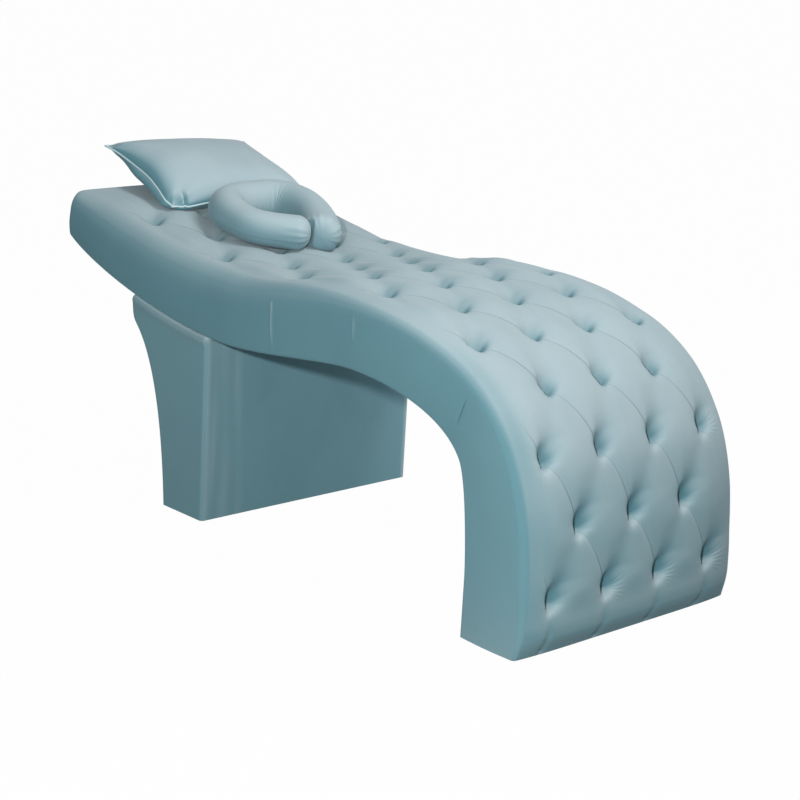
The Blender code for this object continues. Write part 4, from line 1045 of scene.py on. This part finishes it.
# Loose neck pillow
NECK_STEPS, NECK_SIDES = 120, 56
NECK_BACK, NECK_BACK_TUBE, NECK_BASE = 0.125, 0.053, 0.041
NECK_ARMS = (
    {"sign": -1, "tube": 0.046, "widest": (0.036, 0.121), "tip": (0.170, 0.014), "rise": 0.007, "low": 0.26},
    {"sign": 1, "tube": 0.051, "widest": (-0.036, 0.111), "tip": (0.196, 0.002), "rise": 0.013, "low": 0.34},
)
NECK_BACK_RISE, NECK_RISE_OVER, NECK_FALL = 0.007, (0, 0.12), 0.16
NECK_MEET, NECK_PARTING, NECK_MEET_OVER = -0.004, 0.0006, (0.1, 0.2)
NECK_BULGE = 0.014
NECK_BULGE_OVER = (NECK_ARMS[0]["tip"][0] - 0.012, NECK_ARMS[1]["tip"][0] - 0.006)
NECK_TIP_TURN = math.radians(-42)
NECK_TIP_RADIUS, NECK_TIP_CROWD, NECK_TAPER = 0.002, 0.4, 0.6
NECK_CAP, NECK_CAP_POWER = 0.044, 2.4
NECK_GATHER, NECK_GATHER_LINES, NECK_GATHER_OVER = 0.0014, 12, (2.2 * NECK_CAP, 0.3 * NECK_CAP)
NECK_RUCK, NECK_RUCK_LINES, NECK_RUCK_LOW = 0.0011, 40, 0.9
NECK_RUCK_AT, NECK_RUCK_OVER = 0.6, (0.3, 1.3)
# NECK_SEAM_SHOWN is the strength of the painted shade along the seam
NECK_SEAM, NECK_SEAM_SHOWN = math.radians(-18), 0.4


def neck_arm(arm, angle):
    """Rings of half the neck pillow, from the middle of its back to the tip of an arm."""
    sign = arm["sign"]
    line = Line([
        (-NECK_BACK, 0, math.pi / 2, 0, 0.50),
        (*arm["widest"], 0, 0.50, 0.36),
        (*arm["tip"], NECK_TIP_TURN, 0.30, 0),
    ])
    share = np.linspace(0, 1, NECK_STEPS + 1)[:, None]
    arcs = line.length * ((1 - NECK_TIP_CROWD) * share + NECK_TIP_CROWD * np.sin(share * math.pi / 2))
    to_tip = np.clip(1 - (line.length - arcs) / NECK_CAP, 0, 1)
    swell = np.sqrt(np.clip(1 - to_tip ** NECK_CAP_POWER, 0, 1))
    gather = NECK_GATHER * fade(line.length - arcs, NECK_GATHER_OVER)
    gather = gather * np.sin(NECK_GATHER_LINES * angle + 2 * np.sin(3 * angle))
    bend = sign * arcs / NECK_BACK
    inner = np.clip(-np.cos(angle), 0, 1) * np.clip(np.sin(angle) + NECK_RUCK_LOW, 0, 1)
    ruck = NECK_RUCK * inner ** 2 * np.sin(NECK_RUCK_LINES * bend + 3 * np.sin(5 * bend))
    ruck = ruck * fade_out(np.abs(bend - NECK_RUCK_AT), NECK_RUCK_OVER)
    tube = arm["tube"] + (NECK_BACK_TUBE - arm["tube"]) * fade_out(arcs, (0, NECK_TAPER * line.length))
    radius = NECK_TIP_RADIUS + (tube - NECK_TIP_RADIUS + gather + ruck) * swell
    out = -line.right(arcs)
    x = line.at(arcs)[..., 0] + out[..., 0] * radius * np.cos(angle)
    y = line.at(arcs)[..., 1] + out[..., 1] * radius * np.cos(angle)
    meet = (sign * NECK_MEET + NECK_PARTING) * fade(arcs, NECK_MEET_OVER)
    if sign > 0:
        meet = meet - NECK_BULGE * fade(x, NECK_BULGE_OVER)
    rise = NECK_BACK_RISE + (arm["rise"] - NECK_BACK_RISE) * fade(arcs, NECK_RISE_OVER)
    rise = rise * fade_out(arcs, (arm["low"] - NECK_FALL, arm["low"]))
    z = np.maximum(radius * np.sin(angle) + rise * np.clip(np.sin(angle), 0, 1), -NECK_BASE)
    return np.stack((x, sign * np.maximum(y, meet), z), axis=-1)


def neck_pillow(bed_top):
    """A padded horseshoe whose two tips are pressed together."""
    angle = np.linspace(0, 2 * math.pi, NECK_SIDES, endpoint=False)[None, :]
    near, far = (neck_arm(arm, angle) for arm in NECK_ARMS)
    rings = np.concatenate((near[:0:-1], far))
    points = laid(rings.reshape(-1, 3), "neck_pillow_filling", bed_top)
    piece = loft("neck_pillow_case", np.reshape(points, rings.shape), neck_velvet, "neck_pillow")
    # Painted shade along the seam line, with its strength
    seam = np.broadcast_to(np.sin(angle - NECK_SEAM) * NECK_BACK_TUBE, rings.shape[:2])
    shown = np.broadcast_to(NECK_SEAM_SHOWN * (np.cos(angle - NECK_SEAM) > 0), rings.shape[:2])
    store(piece, fold=seam, fold_mask=shown)
    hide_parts("neck_pillow_upper_panel", "neck_pillow_lower_panel", "neck_pillow_filling")


# Stage, light and camera
WORLD_LIGHT, WORLD_COLOUR = 0.31, (0.88, 1.0, 1.04, 1)
FLOOR_SIZE, FLOOR_TONE, FLOOR_SHARE = 60, 0.35, 0.985
KEY_TARGET = Vector((PEDESTAL_X, -0.2, 0.45))
KEY_FROM = Vector((0.695, -0.655, 0.295))
KEY_REACH, KEY_SIZE, KEY_POWER = 4.2, 0.14, 150.0
KEY_COLOUR = (1.0, 0.975, 0.955)
OVERHEAD_PLACE, OVERHEAD_SIZE, OVERHEAD_POWER = (1.0, 0.9, 3.0), 1.2, 48.0
FILL_PLACE, FILL_SIZE, FILL_POWER = (0.25, 0.95, 0.35), 0.3, 2.6
FILL_TARGET = (PEDESTAL_X, 0, 0.3)


def seen_directly(tree):
    """One where a ray comes from the camera, a mirror or glass, and nought where it carries light."""
    path = tree.nodes.new("ShaderNodeLightPath")
    value = path.outputs["Is Camera Ray"]
    for name in ("Is Glossy Ray", "Is Transmission Ray"):
        node = tree.nodes.new("ShaderNodeMath")
        node.operation = "MAXIMUM"
        tree.links.new(value, node.inputs[0])
        tree.links.new(path.outputs[name], node.inputs[1])
        value = node.outputs[0]
    return value


def mix_shaders(tree, factor, first, second, output):
    mixed, end = tree.nodes.new("ShaderNodeMixShader"), tree.nodes.new(output)
    for source, socket in zip((factor, first.outputs[0], second.outputs[0]), mixed.inputs):
        tree.links.new(source, socket)
    tree.links.new(mixed.outputs[0], end.inputs["Surface"])


def world():
    made = bpy.data.worlds.new("studio")
    bpy.context.scene.world = made
    made.use_nodes = True
    tree = made.node_tree
    tree.nodes.clear()
    light, seen = (tree.nodes.new("ShaderNodeBackground") for _ in range(2))
    put(light, Strength=WORLD_LIGHT, Color=WORLD_COLOUR)
    put(seen, Strength=1.0, Color=(*WHITE, 1))
    mix_shaders(tree, seen_directly(tree), light, seen, "ShaderNodeOutputWorld")


def floor():
    bpy.ops.mesh.primitive_plane_add(size=FLOOR_SIZE)
    piece = bpy.context.object
    piece.name = "floor"
    made = bpy.data.materials.new("floor")
    made.use_nodes = True
    tree = made.node_tree
    tree.nodes.clear()
    matt, glow = tree.nodes.new("ShaderNodeBsdfDiffuse"), tree.nodes.new("ShaderNodeEmission")
    put(matt, Color=(FLOOR_TONE, FLOOR_TONE, FLOOR_TONE, 1))
    put(glow, Strength=1.0)
    share = tree.nodes.new("ShaderNodeMath")
    share.operation = "MULTIPLY"
    share.inputs[1].default_value = FLOOR_SHARE
    tree.links.new(seen_directly(tree), share.inputs[0])
    mix_shaders(tree, share.outputs[0], matt, glow, "ShaderNodeOutputMaterial")
    piece.data.materials.append(made)


def area_light(name, place, target, size, power, colour=WHITE):
    data = bpy.data.lights.new(name, "AREA")
    data.color = colour
    data.shape = "DISK"
    data.size = size
    data.energy = power
    lamp = linked(name, data)
    lamp.location = place
    lamp.rotation_euler = (Vector(target) - Vector(place)).to_track_quat("-Z", "Y").to_euler()


def lights():
    middle = Vector((0, 0, cad_high[2] / 2))
    area_light("key", KEY_TARGET + KEY_REACH * KEY_FROM, KEY_TARGET, KEY_SIZE, KEY_POWER, KEY_COLOUR)
    area_light("overhead", OVERHEAD_PLACE, middle, OVERHEAD_SIZE, OVERHEAD_POWER)
    area_light("fill", FILL_PLACE, FILL_TARGET, FILL_SIZE, FILL_POWER)


def camera():
    data = bpy.data.cameras.new("camera")
    data.lens = CAMERA_LENS
    data.sensor_width = CAMERA_SENSOR
    eye = linked("camera", data)
    across = Vector((math.cos(CAMERA_AZIMUTH), math.sin(CAMERA_AZIMUTH), 0))
    level = Vector((-across.y, across.x, 0))
    ahead = math.cos(CAMERA_ELEVATION) * level - math.sin(CAMERA_ELEVATION) * Vector((0, 0, 1))
    up = across.cross(ahead)
    right = math.cos(CAMERA_ROLL) * across + math.sin(CAMERA_ROLL) * up
    top = math.cos(CAMERA_ROLL) * up - math.sin(CAMERA_ROLL) * across
    turn = Matrix((right, top, -ahead)).transposed().to_4x4()
    eye.matrix_world = Matrix.Translation(Vector(CAMERA_PLACE) + Vector((PEDESTAL_X, 0, 0))) @ turn
    bpy.context.scene.camera = eye


finish_nodes()
cover = bed_cover().data
corners = [vert.co for vert in cover.vertices]
bed_top = BVHTree.FromPolygons(corners, [face.vertices for face in cover.polygons])
tuft_buttons()
under_cover()
head_cover()
pedestal_sleeve()
pillow(bed_top)
neck_pillow(bed_top)
world()
floor()
lights()
camera()
bpy.context.scene.view_settings.view_transform = "Standard"
